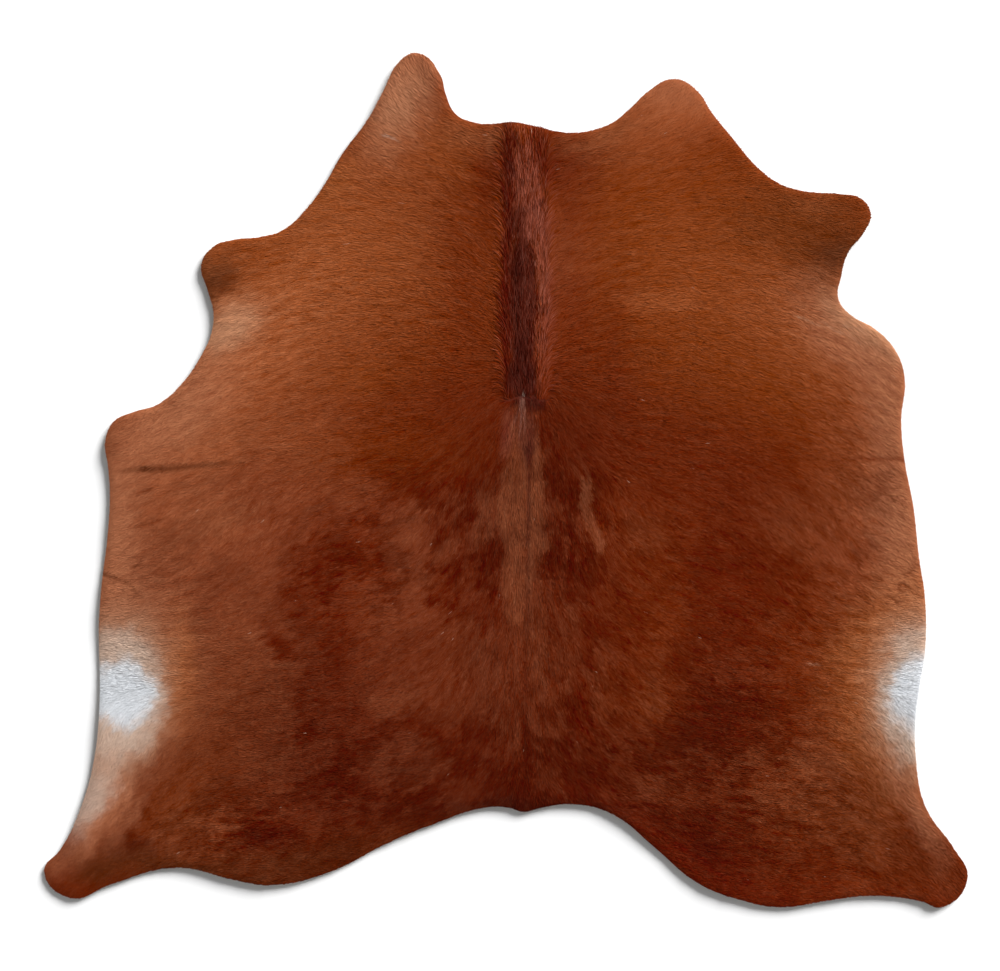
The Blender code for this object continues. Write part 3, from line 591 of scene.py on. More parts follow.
@dataclass(frozen=True)
class CoatMap:
    """What the coat is like at any place: its tone, its nap and the way it is combed."""

    # Colour of the painted sheen on raised nap, added in step with the nap.
    nap_sheen: Colour = (0.0985, 0.039, 0.0163)
    raggedness: tuple[tuple[float, float], ...] = (
        (0.11, 0.014),
        (0.042, 0.011),
        (0.018, 0.008),
        (0.008, 0.003),
    )
    mane_raggedness: float = 0.35
    lock_seed: int = 60
    lock_widths: tuple[float, ...] = (0.008, 0.016)
    lock_length: float = 0.036
    lock_joints: int = 4
    lock_reach: float = 0.010
    cloud_seed: int = 40
    cloud_size: float = 0.080
    cloud_octaves: int = 4
    cloud_gain: float = 0.85
    cloud_edge: float = 2.0
    cloud_shade: float = 0.55
    cloud_slant: float = -30.0
    cloud_stretch: float = 1.5
    cloud_shift: float = 3.0
    stroke_reach: float = 0.075
    mane_reach: float = 0.052
    spine_reach: float = 0.034
    strip_rim: float = 0.012
    whorl_fall: float = 0.32
    whorl_raggedness: float = 0.006
    whorl_wobble: Cloud = Cloud(13, 0.014)
    whorl_rim: float = 0.012
    sway: float = 12.0
    broad_sway: Cloud = Cloud(11, 0.05)
    fine_sway: Cloud = Cloud(12, 0.018)
    fine_sway_share: float = 0.6
    shoulder_length: float = 0.022
    back_length: float = 0.015
    length_start: float = -0.08
    length_rim: float = 0.14

    def locks(self, points: Array) -> Array:
        """Locks of hairs that lie side by side and share a shade, from about -1 to 1.

        Args:
            points: Places on the hide, one row each.

        Returns:
            One value for each place.
        """
        total = np.zeros(len(points))
        place = points
        for _ in range(self.lock_joints):
            for seed, size in enumerate(self.lock_widths):
                total += Cloud(self.lock_seed + seed, size).at(place)
            place = place + self.lock_length / self.lock_joints * self.comb(place)
        return total / math.sqrt(self.lock_joints * len(self.lock_widths))

    def ragged(self, points: Array, locks: Array) -> Array:
        """The places, pushed about a little so that patches get cloudy rims with locks in them.

        Args:
            points: Places on the hide, one row each.
            locks: The locks' shade at each place.

        Returns:
            The pushed places.
        """
        pushed = points + self.lock_reach * locks[:, None] * self.comb(points)
        for seed, (size, reach) in enumerate(self.raggedness):
            push = [Cloud(2 * seed + side, size).at(points) for side in (0, 1)]
            pushed += reach * np.stack(push, axis=1)
        return pushed

    def clouds(self, points: Array) -> Array:
        """Where the nap stands up and where it lies down, from -1 to 1, with crisp rims.

        The clouds are drawn out along the hair, outwards and to the rear from the spine.

        Args:
            points: Places on the hide, one row each.

        Returns:
            One value for each place.
        """
        side = np.where(points[:, 0] >= SPINE_X, 1.0, -1.0)
        across, slant = side * (points[:, 0] - SPINE_X), math.radians(self.cloud_slant)
        along = across * math.cos(slant) + points[:, 1] * math.sin(slant)
        beside = points[:, 1] * math.cos(slant) - across * math.sin(slant)
        points = np.column_stack([along / self.cloud_stretch + self.cloud_shift * side, beside])
        total = np.zeros(len(points))
        for octave in range(self.cloud_octaves):
            size = self.cloud_size / 2**octave
            total += self.cloud_gain**octave * Cloud(self.cloud_seed + octave, size).at(points)
        return np.tanh(self.cloud_edge * total)

    def broken(self, points: Array) -> Array:
        """How far the clouds raise the nap above its level, or lower it."""
        return painted(CLOUDS_GROUND, CLOUDS, points) * self.clouds(points)

    def look(self, points: Array) -> tuple[Array, Array]:
        """What the hair looks like at each place.

        Args:
            points: Places on the hide, one row each.

        Returns:
            The colour as the renderer counts it, and the nap, the liveliness and the lock's shade.
        """
        locks = self.locks(points)
        places = self.ragged(points, locks)
        broken = self.broken(places)
        nap = np.maximum(painted(NAP_GROUND, NAP, places) + broken, 0.0)
        colour = painted(SMOOTH_GROUND, SMOOTH, places)
        # Painted sheen and shade of the nap: the tone is lighter where the clouds raise the nap and darker
        # where they lower it, and the sheen colour is added in step with the nap.
        colour *= (1.0 + self.cloud_shade * broken)[:, None]
        colour += nap[:, None] * np.array(self.nap_sheen)
        for patch in PALE:
            colour = patch.laid_over(colour, places)
        straighter = points + self.mane_raggedness * (places - points)
        for patch in MANE:
            colour = patch.laid_over(colour, straighter)
        for line in LINES:
            cover = line.strength * line.cover(points)[:, None]
            colour += (line.tone.linear() - colour) * cover
        return colour, np.column_stack([nap, painted(LIVELY_GROUND, LIVELY, points), locks])

    def past_whorl(self, points: Array) -> Array:
        """How far each place lies in front of the whorl's line, which falls back beside the spine.

        Args:
            points: Places on the hide, one row each.

        Returns:
            One distance for each place, negative behind the line.
        """
        across = np.abs(points[:, 0] - SPINE_X)
        ragged = self.whorl_raggedness * self.whorl_wobble.at(points)
        return points[:, 1] - WHORL_Y + self.whorl_fall * across + ragged

    def comb(self, points: Array) -> Array:
        """The direction in which the hair lies at each place, as unit vectors.

        Args:
            points: Places on the hide, one row each.

        Returns:
            One direction for each place.
        """
        outwards = np.where(points[:, 0] >= SPINE_X, 1.0, -1.0)
        across = np.abs(points[:, 0] - SPINE_X)
        way = np.zeros((len(points), 2))
        for stroke in STROKES:
            away = (across - stroke.across) ** 2 + (points[:, 1] - stroke.y) ** 2
            weight = np.exp(-0.5 * away / self.stroke_reach**2) + 1e-9 / (away + 1e-3)
            lift = math.radians(stroke.lift)
            way += weight[:, None] * np.array([math.cos(lift), math.sin(lift)])
        way /= np.linalg.norm(way, axis=1, keepdims=True)
        past_whorl = self.past_whorl(points)
        reach = np.where(past_whorl > 0.0, self.mane_reach, self.spine_reach)
        on_spine = (0.5 - 0.5 * np.tanh((across - reach) / self.strip_rim))[:, None]
        forwards = np.tanh(past_whorl / self.whorl_rim)
        along = np.stack([np.zeros(len(points)), forwards], axis=1)
        way = way * (1.0 - on_spine) + along * on_spine
        way[:, 0] *= outwards
        sway = self.broad_sway.at(points) + self.fine_sway_share * self.fine_sway.at(points)
        way = turned(way, np.radians(self.sway) * sway)
        return way / np.maximum(np.linalg.norm(way, axis=1, keepdims=True), 1e-6)

    def length(self, points: Array) -> Array:
        """How long the hair is at each place: longer in front of the whorl than behind it."""
        in_front = 0.5 + 0.5 * np.tanh((points[:, 1] - WHORL_Y - self.length_start) / self.length_rim)
        return self.back_length + (self.shoulder_length - self.back_length) * in_front

    def trough(self, points: Array) -> Array:
        """How far creases lower the coat at each place.

        Args:
            points: Places on the hide, one row each.

        Returns:
            One depth for each place.
        """
        depth = np.zeros(len(points))
        for line in LINES:
            depth = np.maximum(depth, line.depth * line.cover(points))
        return depth


# ------------------------------------------------------------------ shape of the hide


@dataclass
class HideForm:
    """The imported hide, read as an outline and a field of heights.

    Attributes:
        outline: The corners of the cut edge, anticlockwise.
        top: Height of the solid's upper side on a square lattice.
        inside: Distance to the cut edge on that lattice, negative outside.
        low: The lattice's first place.
    """

    pitch: float = 0.004
    margin: float = 0.02
    leather_share: float = 0.5
    rim_lift: float = 0.0134
    curl_bearing: float = 228.0
    least_curl: float = 0.12
    curl_step: float = 0.02
    curl_growth: float = 0.6
    rim_width: float = 0.07
    rim_swell: float = 0.75
    rim_waves: float = 0.35
    rim_noise: Cloud = Cloud(17, 0.16)
    edge_round: float = 0.012
    edge_sharpness: float = 1.5
    edge_lean: float = 0.21
    clear: float = 0.0008
    outline: Array = field(init=False)
    top: Array = field(init=False)
    inside: Array = field(init=False)
    low: Array = field(init=False)

    def __post_init__(self) -> None:
        """Read the frame's node."""
        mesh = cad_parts[NODE].data
        mesh.calc_loop_triangles()
        points = np.array([vertex.co[:] for vertex in mesh.vertices])
        faces = np.array([triangle.vertices[:] for triangle in mesh.loop_triangles])
        self.outline = self._bottom_loop(points, faces)
        self.low = self.outline.min(0) - self.margin
        steps = np.ceil((self.outline.max(0) + self.margin - self.low) / self.pitch).astype(int) + 1
        across = self.low[0] + self.pitch * np.arange(steps[0])
        up = self.low[1] + self.pitch * np.arange(steps[1])
        lattice = np.stack(np.meshgrid(across, up, indexing="ij"), axis=-1).reshape(-1, 2)
        self.inside = self._signed_distance(lattice).reshape(steps)
        self.top = self._heights(lattice, points, faces).reshape(steps)

    @staticmethod
    def _bottom_loop(points: Array, faces: Array) -> Array:
        """Chain the rim of the flat underside into one loop of corners.

        Args:
            points: The solid's points.
            faces: Its triangles.

        Returns:
            The corners, anticlockwise.
        """
        merged: dict[tuple[float, ...], int] = {}
        index = [merged.setdefault(tuple(np.round(point, 5)), len(merged)) for point in points]
        places = np.array(list(merged))
        flat = [[index[corner] for corner in face] for face in faces if points[face, 2].max() < 1e-5]
        edges = {(face[k], face[(k + 1) % 3]) for face in flat for k in range(3)}
        follow = {start: end for start, end in edges if (end, start) not in edges}
        first = min(follow)
        loop = [first]
        while follow[loop[-1]] != first:
            loop.append(follow[loop[-1]])
        outline = places[loop, :2]
        return outline if loop_area(outline) > 0 else outline[::-1]

    def _signed_distance(self, lattice: Array) -> Array:
        """Distance from each place to the cut edge, negative outside it.

        Args:
            lattice: Places, one row each.

        Returns:
            One distance for each place.
        """
        start = self.outline
        run = np.roll(start, -1, axis=0) - start
        best = np.full(len(lattice), np.inf)
        crossings = np.zeros(len(lattice), dtype=int)
        for (sx, sy), (rx, ry) in zip(start, run):
            dx, dy = lattice[:, 0] - sx, lattice[:, 1] - sy
            part = np.clip((dx * rx + dy * ry) / (rx * rx + ry * ry), 0.0, 1.0)
            best = np.minimum(best, (dx - part * rx) ** 2 + (dy - part * ry) ** 2)
            spans = (dy < 0) != (dy < ry)
            if ry:
                crossings += spans & (dx < rx * dy / ry)
        return np.sqrt(best) * np.where(crossings % 2 == 1, 1.0, -1.0)

    def _heights(self, lattice: Array, points: Array, faces: Array) -> Array:
        """Height of the solid under each place, carried on a little past the cut edge.

        Args:
            lattice: Places, one row each.
            points: The solid's points.
            faces: Its triangles.

        Returns:
            One height for each place.
        """
        tree = BVHTree.FromPolygons([Vector(point) for point in points], faces.tolist())
        down = Vector((0.0, 0.0, -1.0))
        rim = points[points[:, 2] > 1e-4, 2].min()
        heights = np.full(len(lattice), rim)
        for index in np.flatnonzero(self.inside.ravel() > 0):
            hit = tree.ray_cast(Vector((*lattice[index], 1.0)), down)[0]
            if hit:
                heights[index] = hit.z
        return heights

    def _read(self, values: Array, points: Array) -> Array:
        """Look a lattice of values up between its corners.

        Args:
            values: The values on the lattice.
            points: Places on the hide, one row each.

        Returns:
            One value for each place.
        """
        place = (points - self.low) / self.pitch
        limit = np.array(values.shape) - 2
        cell = np.clip(np.floor(place).astype(int), 0, limit)
        part = np.clip(place - cell, 0.0, 1.0)
        x, y = cell[:, 0], cell[:, 1]
        low = values[x, y] * (1 - part[:, 0]) + values[x + 1, y] * part[:, 0]
        high = values[x, y + 1] * (1 - part[:, 0]) + values[x + 1, y + 1] * part[:, 0]
        return low * (1 - part[:, 1]) + high * part[:, 1]

    def depth_inside(self, points: Array) -> Array:
        """Distance to the cut edge, negative outside."""
        return self._read(self.inside, points)

    def underside(self, points: Array) -> Array:
        """Height of the leather's flesh side, which leaves the floor a little at the rim.

        Args:
            points: Places on the hide, one row each.

        Returns:
            One height for each place.
        """
        near = np.clip(1.0 - self.depth_inside(points) / self.rim_width, 0.0, 1.0)
        waves = self.rim_swell + self.rim_waves * self.rim_noise.at(points)
        return self.rim_lift * waves * self._curl(points) * near**2

    def _curl(self, points: Array) -> Array:
        """How much of the lift each place gets: most where the rim faces the curl's bearing.

        Args:
            points: Places on the hide, one row each.

        Returns:
            A share for each place.
        """
        bearing = math.radians(self.curl_bearing)
        way = self.curl_step * np.array([math.cos(bearing), math.sin(bearing)])
        towards = self.depth_inside(points - way) - self.depth_inside(points + way)
        towards /= 2.0 * self.curl_step
        share = np.clip(0.5 + self.curl_growth * towards, 0.0, 1.0)
        return self.least_curl + (1.0 - self.least_curl) * share

    def skin_top(self, points: Array) -> Array:
        """Height of the leather's hair side."""
        return self.underside(points) + self.leather_share * self._read(self.top, points)

    def coat_top(self, points: Array) -> Array:
        """Height of the coat's upper side."""
        return self.underside(points) + self._read(self.top, points)

    def rounding(self, points: Array) -> Array:
        """How the coat turns down and outwards at the cut edge, as a lean of its surface.

        Args:
            points: Places on the hide, one row each.

        Returns:
            The lean at each place, one row each.
        """
        step = 2.0 * self.pitch
        inside = self.depth_inside(points)
        slope = [self.depth_inside(points + step * way) - inside for way in np.eye(2)]
        near = (np.maximum(inside, 0.0) / self.edge_round) ** self.edge_sharpness
        lean = self.edge_lean * np.exp(-near)
        return -lean[:, None] * np.stack(slope, axis=1) / step

    def scattered(self, pitch: float, seed: int) -> Array:
        """Places inside the cut edge, one in each square of a lattice, at random in it.

        Args:
            pitch: Side of the squares.
            seed: Seed of the random places.

        Returns:
            The places, one row each.
        """
        steps = np.ceil((self.outline.max(0) - self.outline.min(0)) / pitch).astype(int)
        cells = np.stack(np.meshgrid(*map(np.arange, steps), indexing="ij"), axis=-1).reshape(-1, 2)
        jitter = np.random.default_rng(seed).random(cells.shape)
        places = self.outline.min(0) + (cells + jitter) * pitch
        return places[self.depth_inside(places) > self.clear]


# ------------------------------------------------------------------ shader graphs


class Link:
    """A value on its way through a node tree; Python's operators add Math nodes."""

    def __init__(self, graph: "Graph", socket: bpy.types.NodeSocket) -> None:
        """Wrap an output socket."""
        self.graph = graph
        self.socket = socket

    def __add__(self, other: "Link | float") -> "Link":
        """Sum."""
        return self.graph.maths("ADD", self, other)

    __radd__ = __add__

    def __sub__(self, other: "Link | float") -> "Link":
        """Difference."""
        return self.graph.maths("SUBTRACT", self, other)

    def __rsub__(self, other: "Link | float") -> "Link":
        """Difference, from the right."""
        return self.graph.maths("SUBTRACT", other, self)

    def __mul__(self, other: "Link | float") -> "Link":
        """Product."""
        return self.graph.maths("MULTIPLY", self, other)

    def __truediv__(self, other: "Link | float") -> "Link":
        """Quotient."""
        return self.graph.maths("DIVIDE", self, other)

    def clamped(self) -> "Link":
        """The value, kept between 0 and 1."""
        return self.graph.add("ShaderNodeClamp", inputs={"Value": self})


class Graph:
    """A material's node tree, built from Python expressions."""

    def __init__(self, name: str) -> None:
        """Start an empty material.

        Args:
            name: The material's name.
        """
        self.material = bpy.data.materials.new(name)
        self.material.use_nodes = True
        self.tree = self.material.node_tree
        self.tree.nodes.clear()

    def add(
        self,
        kind: str,
        settings: dict[str, Any] | None = None,
        inputs: dict[str | int, Any] | None = None,
        output: str | int = 0,
    ) -> Link | None:
        """Add one node.

        Args:
            kind: The node's type.
            settings: Its properties, set before its sockets.
            inputs: Values or links for its input sockets, by name or number.
            output: The output socket to hand back.

        Returns:
            The chosen output, or nothing for a node that has none.
        """
        node = self.tree.nodes.new(kind)
        for name, value in (settings or {}).items():
            setattr(node, name, value)
        for name, value in (inputs or {}).items():
            socket = node.inputs[name]
            if isinstance(value, Link):
                self.tree.links.new(value.socket, socket)
            else:
                socket.default_value = value
        return Link(self, node.outputs[output]) if node.outputs else None

    def maths(self, operation: str, first: Link | float, second: Link | float) -> Link:
        """Add a Math node."""
        return self.add("ShaderNodeMath", {"operation": operation}, {0: first, 1: second})

    def attribute(self, name: str, output: str = "Color") -> Link:
        """Read a value that the mesh carries."""
        return self.add("ShaderNodeAttribute", {"attribute_name": name}, output=output)

    def parts(self, vector: Link) -> list[Link]:
        """Split a vector into its three numbers."""
        first = self.add("ShaderNodeSeparateXYZ", inputs={"Vector": vector})
        return [Link(self, first.socket.node.outputs[index]) for index in range(3)]

    def joined(self, x: Link | float, y: Link | float, z: Link | float) -> Link:
        """Put three numbers together as a vector."""
        return self.add("ShaderNodeCombineXYZ", inputs={"X": x, "Y": y, "Z": z})

    def place(self) -> Link:
        """Where the surface is, in metres."""
        return self.add("ShaderNodeNewGeometry", output="Position")

    def noise(
        self, place: Link, scale: float, detail: float = 2.0, rough: float = 0.5, bend: float = 0.0
    ) -> Link:
        """Smooth noise, about 0.2 to 0.8.

        Args:
            place: Where the noise is read.
            scale: How fine it is.
            detail: How many finer layers it has.
            rough: How strong the finer layers are.
            bend: How far it is bent.

        Returns:
            The noise.
        """
        inputs = {"Vector": place, "Scale": scale, "Detail": detail, "Roughness": rough, "Distortion": bend}
        return self.add("ShaderNodeTexNoise", inputs=inputs, output="Fac")

    def blend(self, first: Any, second: Any, share: Link | float) -> Link:
        """Mix two colours."""
        settings = {"data_type": "RGBA", "blend_type": "MIX", "clamp_factor": True}
        return self.add("ShaderNodeMix", settings, {0: share, 6: first, 7: second}, output=2)

    def vector(self, operation: str, first: Any, second: Any) -> Link:
        """Add a Vector Math node."""
        return self.add("ShaderNodeVectorMath", {"operation": operation}, {0: first, 1: second})

    def scaled(self, colour: Link | Colour, amount: Link | float) -> Link:
        """Make a colour brighter or darker by a factor."""
        return self.add("ShaderNodeVectorMath", {"operation": "SCALE"}, {"Vector": colour, "Scale": amount})

    def bump(self, height: Link, distance: float, strength: float) -> Link:
        """Turn heights into relief, for a Normal socket.

        Args:
            height: The heights.
            distance: How far the heights reach, in metres.
            strength: How much of the relief shows.

        Returns:
            The relief.
        """
        inputs = {"Height": height, "Distance": distance, "Strength": strength}
        return self.add("ShaderNodeBump", inputs=inputs, output="Normal")

    def finish(self, shader_inputs: dict[str, Any]) -> bpy.types.Material:
        """Feed the surface shader and hand the material back.

        Args:
            shader_inputs: Values or links for the shader's sockets.

        Returns:
            The material.
        """
        shader = self.add("ShaderNodeBsdfPrincipled", inputs=shader_inputs)
        self.add("ShaderNodeOutputMaterial", inputs={"Surface": shader})
        return self.material


def solid(colour: Array | Colour) -> tuple[float, float, float, float]:
    """A colour with full alpha, as a colour socket takes it."""
    return (*(float(part) for part in colour), 1.0)


@dataclass(frozen=True)
class CoatFinish:
    """Lying hair: a shade for each hair, paler tips, fine strands and a few white hairs.

    A coloured hair pales by its sheen, which is duller than its tone, and a white hair evenly.
    """

    name: str = "coat"
    sheen: Colour = (1.0, 0.48, 0.24)
    roughness: float = 0.60
    roughness_spread: float = 0.2
    gloss: float = 0.08
    gloss_tint: Colour = (1.0, 0.28, 0.08)
    tip_lift: float = 0.16
    strand_spread: float = 0.14
    strand_scale: float = 2.2
    strand_across: float = 1.6
    strand_along: float = 0.8
    strands_apart: tuple[float, float] = (40.0, 9.0)
    shade_spread: float = 0.34
    lock_spread: float = 0.30
    blue_of_white: float = 1.3
    darkest: Colour = (0.02, 0.002, 0.0005)
    # Painted sheen in fine specks on raised nap: its colour, size and strength.
    nap_sheen: Colour = (0.16, 0.075, 0.04)
    nap_sheen_scale: float = 160.0
    nap_sheen_strength: float = 0.4
    pale_hair: Colour = (0.52, 0.26, 0.13)
    pale_share: float = 0.06
    pale_strength: float = 0.30
    pale_on_red: float = 3.0
    pale_root: float = 0.3
    white_hair: Colour = (0.55, 0.36, 0.26)
    white_share: float = 0.00012
    white_strength: float = 0.5

    def material(self) -> bpy.types.Material:
        """Build the material.

        Returns:
            The material.
        """
        graph = Graph(self.name)
        tone = graph.attribute("tone")
        root = graph.attribute("root", "Vector")
        across, along, chance = graph.parts(graph.attribute("strand", "Vector"))
        nap, lively, lock = graph.parts(graph.attribute("nature", "Vector"))
        strands = self._strands(graph, across, along, chance)
        shade = lively * ((chance - 0.5) * self.shade_spread + lock * self.lock_spread)
        shade = shade + (along - 0.5) * self.tip_lift
        shade = shade + (strands - 0.5) * self.strand_spread
        red, _, blue = graph.parts(tone)
        white = (blue / (red + 0.001) * self.blue_of_white).clamped()
        sheen = graph.scaled(self.sheen, red * shade * (1.0 - white))
        colour = graph.vector("ADD", graph.scaled(tone, 1.0 + shade * white), sheen)
        colour = graph.vector("MAXIMUM", colour, self.darkest)
        # Painted sheen: fine specks lightened where the nap stands up.
        nap_sheen = (graph.noise(root, self.nap_sheen_scale, 3.0, 0.6) - 0.5) * nap * self.nap_sheen_strength
        colour = graph.blend(colour, solid(self.nap_sheen), nap_sheen.clamped())
        pale = ((chance - (1.0 - self.pale_share)) * (1.0 / self.pale_share)).clamped()
        pale = pale * lively * (along * (1.0 - self.pale_root) + self.pale_root)
        pale = pale * self.pale_strength * (red * self.pale_on_red).clamped()
        colour = graph.blend(colour, solid(self.pale_hair), pale.clamped())
        white = graph.maths("GREATER_THAN", chance, 1.0 - self.white_share)
        colour = graph.blend(colour, solid(self.white_hair), white * self.white_strength)
        return graph.finish(
            {
                "Base Color": colour,
                "Roughness": self.roughness + (strands - 0.5) * self.roughness_spread,
                "Specular IOR Level": self.gloss,
                "Specular Tint": solid(self.gloss_tint),
            }
        )

    def _strands(self, graph: Graph, across: Link, along: Link, chance: Link) -> Link:
        """Fine strands in each hair, other ones for each hair.

        Args:
            graph: The material's node tree.
            across: Where a point lies across its hair.
            along: Where it lies along its hair.
            chance: The hair's own random number.

        Returns:
            The strands, about 0.2 to 0.8.
        """
        apart, apart_again = self.strands_apart
        beside = across * self.strand_across + chance * apart
        place = graph.joined(beside, along * self.strand_along, chance * apart_again)
        return graph.noise(place, self.strand_scale, 1.0)


MANE_FINISH = CoatFinish(
    name="mane",
    sheen=(1.0, 0.36, 0.25),
    shade_spread=0.90,
    pale_hair=(0.34, 0.17, 0.13),
    pale_on_red=6.0,
)


@dataclass(frozen=True)
class SkinFinish:
    """The hair side of the leather, where hair roots stand close together; the coat's tone is made a little
    darker there as painted shade under the hairs.
    """

    name: str = "hair_side"
    darkest: float = 0.70
    grain_scale: float = 900.0
    grain_share: float = 0.30
    blotch_scale: float = 60.0
    blotch_share: float = 0.20
    relief: float = 0.0006
    relief_strength: float = 0.6
    roughness: float = 0.75
    roughness_spread: float = 0.2
    gloss: float = 0.1

    def material(self) -> bpy.types.Material:
        """Build the material.

        Returns:
            The material.
        """
        graph = Graph(self.name)
        place = graph.place()
        grain = graph.noise(place, self.grain_scale, 3.0, 0.6)
        blotch = graph.noise(place, self.blotch_scale, 3.0)
        # Painted shade under the hairs, with grain and blotches: the coat's tone scaled from darkest
        # upwards.
        shade = self.darkest + grain * self.grain_share + blotch * self.blotch_share
        return graph.finish(
            {
                "Base Color": graph.scaled(graph.attribute("tone"), shade),
                "Roughness": self.roughness + (blotch - 0.5) * self.roughness_spread,
                "Specular IOR Level": self.gloss,
                "Normal": graph.bump(grain, self.relief, self.relief_strength),
            }
        )


@dataclass(frozen=True)
class FleshFinish:
    """The flesh side: pale suede with a short nap and darker stains."""

    name: str = "flesh_side"
    pale: Colour = (0.62, 0.50, 0.36)
    dark: Colour = (0.40, 0.29, 0.19)
    fibre_scale: float = 700.0
    stain_scale: float = 7.0
    stain_level: float = 0.45
    stain_edge: float = 3.0
    relief: float = 0.0005
    relief_strength: float = 0.7
    roughness: float = 0.88
    roughness_spread: float = 0.1
    gloss: float = 0.1

    def material(self) -> bpy.types.Material:
        """Build the material.

        Returns:
            The material.
        """
        graph = Graph(self.name)
        place = graph.place()
        fibres = graph.noise(place, self.fibre_scale, 4.0, 0.7)
        stains = graph.noise(place, self.stain_scale, 5.0, 0.62, 0.8)
        share = (stains - self.stain_level) * self.stain_edge + (fibres - 0.5)
        colour = graph.blend(solid(self.pale), solid(self.dark), share.clamped())
        return graph.finish(
            {
                "Base Color": colour,
                "Roughness": self.roughness + (fibres - 0.5) * self.roughness_spread,
                "Specular IOR Level": self.gloss,
                "Normal": graph.bump(fibres, self.relief, self.relief_strength),
            }
        )


@dataclass(frozen=True)
class EdgeFinish:
    """The cut edge: fibres of tanned leather, darker towards the hair side."""

    name: str = "cut_edge"
    pale: Colour = (0.30, 0.17, 0.09)
    dark: Colour = (0.13, 0.06, 0.03)
    fibre_scale: float = 800.0
    darkening: float = 380.0
    relief: float = 0.0004
    relief_strength: float = 0.8
    roughness: float = 0.8
    roughness_spread: float = 0.2
    gloss: float = 0.1

    def material(self) -> bpy.types.Material:
        """Build the material.

        Returns:
            The material.
        """
        graph = Graph(self.name)
        place = graph.place()
        fibres = graph.noise(place, self.fibre_scale, 3.0, 0.7)
        share = graph.parts(place)[2] * self.darkening + (fibres - 0.5)
        colour = graph.blend(solid(self.pale), solid(self.dark), share.clamped())
        return graph.finish(
            {
                "Base Color": colour,
                "Roughness": self.roughness + (fibres - 0.5) * self.roughness_spread,
                "Specular IOR Level": self.gloss,
                "Normal": graph.bump(fibres, self.relief, self.relief_strength),
            }
        )


@dataclass(frozen=True)
class FloorFinish:
    """Plain pale floor."""

    name: str = "floor"
    colour: Colour = (0.90, 0.90, 0.90)
    roughness: float = 0.9

    def material(self) -> bpy.types.Material:
        """Build the material.

        Returns:
            The material.
        """
        inputs = {"Base Color": solid(self.colour), "Roughness": self.roughness, "Specular IOR Level": 0.0}
        return Graph(self.name).finish(inputs)


# ------------------------------------------------------------------ pieces


def new_piece(name: str, mesh: bpy.types.Mesh) -> bpy.types.Object:
    """Put a mesh into the scene as an object of that name.

    Args:
        name: The piece's name.
        mesh: Its mesh.

    Returns:
        The new object.
    """
    piece = bpy.data.objects.new(name, mesh)
    bpy.context.scene.collection.objects.link(piece)
    return piece


def carry(mesh: bpy.types.Mesh, name: str, kind: str, values: Array) -> None:
    """Let a mesh carry a value for each of its points.

    Args:
        mesh: The mesh.
        name: The value's name, as the materials read it.
        kind: FLOAT_COLOR or FLOAT_VECTOR.
        values: One row for each point.
    """
    layer = mesh.attributes.new(name, kind, "POINT")
    if kind == "FLOAT_COLOR":
        values = np.concatenate([values, np.ones((len(values), 1))], axis=1)
    key = "color" if kind == "FLOAT_COLOR" else "vector"
    layer.data.foreach_set(key, np.ascontiguousarray(values, dtype=np.float32).ravel())


@dataclass
class Leather:
    """The leather itself: one closed sheet with the hide's outline, troughs and swells."""

    form: HideForm
    coat_map: CoatMap
    set_back: float = 0.0007
    pitch: float = 0.013
    seed: int = 21
    clear_of_edge: float = 0.008
    trough_share: float = 0.5
    sharp_angle: float = 50.0

    def build(self) -> bpy.types.Object:
        """Make the sheet, hair side up.

        Returns:
            The piece.
        """
        rim = self._rim()
        inner = self.form.scattered(self.pitch, self.seed)
        inner = inner[self.form.depth_inside(inner) > self.clear_of_edge]
        flat = [Vector(place) for place in np.concatenate([rim, inner])]
        edge = list(range(len(rim)))
        made = delaunay_2d_cdt(flat, [], [edge], 1, 1e-6)
        places = np.array([place[:] for place in made[0]])
        triangles = np.array(made[2])
        count = len(places)
        heights = self.form.skin_top(places) - self.trough_share * self.coat_map.trough(places)
        top = np.column_stack([places, heights])
        bottom = np.column_stack([places, self.form.underside(places)])
        owner = [ids[0] if ids else -1 for ids in made[3]]
        at = {original: index for index, original in enumerate(owner) if original >= 0}
        ring = [at[corner] for corner in edge]
        pairs = zip(ring, ring[1:] + ring[:1])
        walls = [(start + count, end + count, end, start) for start, end in pairs]
        faces = triangles.tolist() + (triangles[:, ::-1] + count).tolist() + walls
        mesh = bpy.data.meshes.new("leather")
        mesh.from_pydata(np.concatenate([top, bottom]).tolist(), [], faces)
        for finish in (SkinFinish(), FleshFinish(), EdgeFinish()):
            mesh.materials.append(finish.material())
        slots = np.repeat([0, 1, 2], [len(triangles), len(triangles), len(walls)])
        mesh.polygons.foreach_set("material_index", slots.astype(np.int32))
        carry(mesh, "tone", "FLOAT_COLOR", np.tile(self.coat_map.look(places)[0], (2, 1)))
        mesh.shade_smooth()
        mesh.set_sharp_from_angle(angle=math.radians(self.sharp_angle))
        mesh.validate()
        return new_piece("leather", mesh)

    def _rim(self) -> Array:
        """The cut edge of the leather, set back a little under the coat.

        Returns:
            Its corners, one row each.
        """
        outline = self.form.outline
        run = np.roll(outline, -1, axis=0) - np.roll(outline, 1, axis=0)
        inwards = np.column_stack([-run[:, 1], run[:, 0]])
        inwards /= np.linalg.norm(inwards, axis=1, keepdims=True)
        return outline + self.set_back * inwards


@dataclass(frozen=True)
class HairKind:
    """One kind of hair: how close it stands, its size and how high it lies.

    Widths and heights go from the root to the tip. A width of nothing makes a point. Heights
    are shares of the coat's depth over the leather.
    """

    name: str
    pitch: float
    length: float
    widths: tuple[float, ...]
    heights: tuple[float, ...]
    unevenness: float
    roll: float
    seed: int

    def stations(self) -> list[list[int]]:
        """The numbers of a hair's own points at each place along it, the left one first.

        Returns:
            One list for each place.
        """
        found, used = [], 0
        for width in self.widths:
            size = 2 if width else 1
            found.append(list(range(used, used + size)))
            used += size
        return found


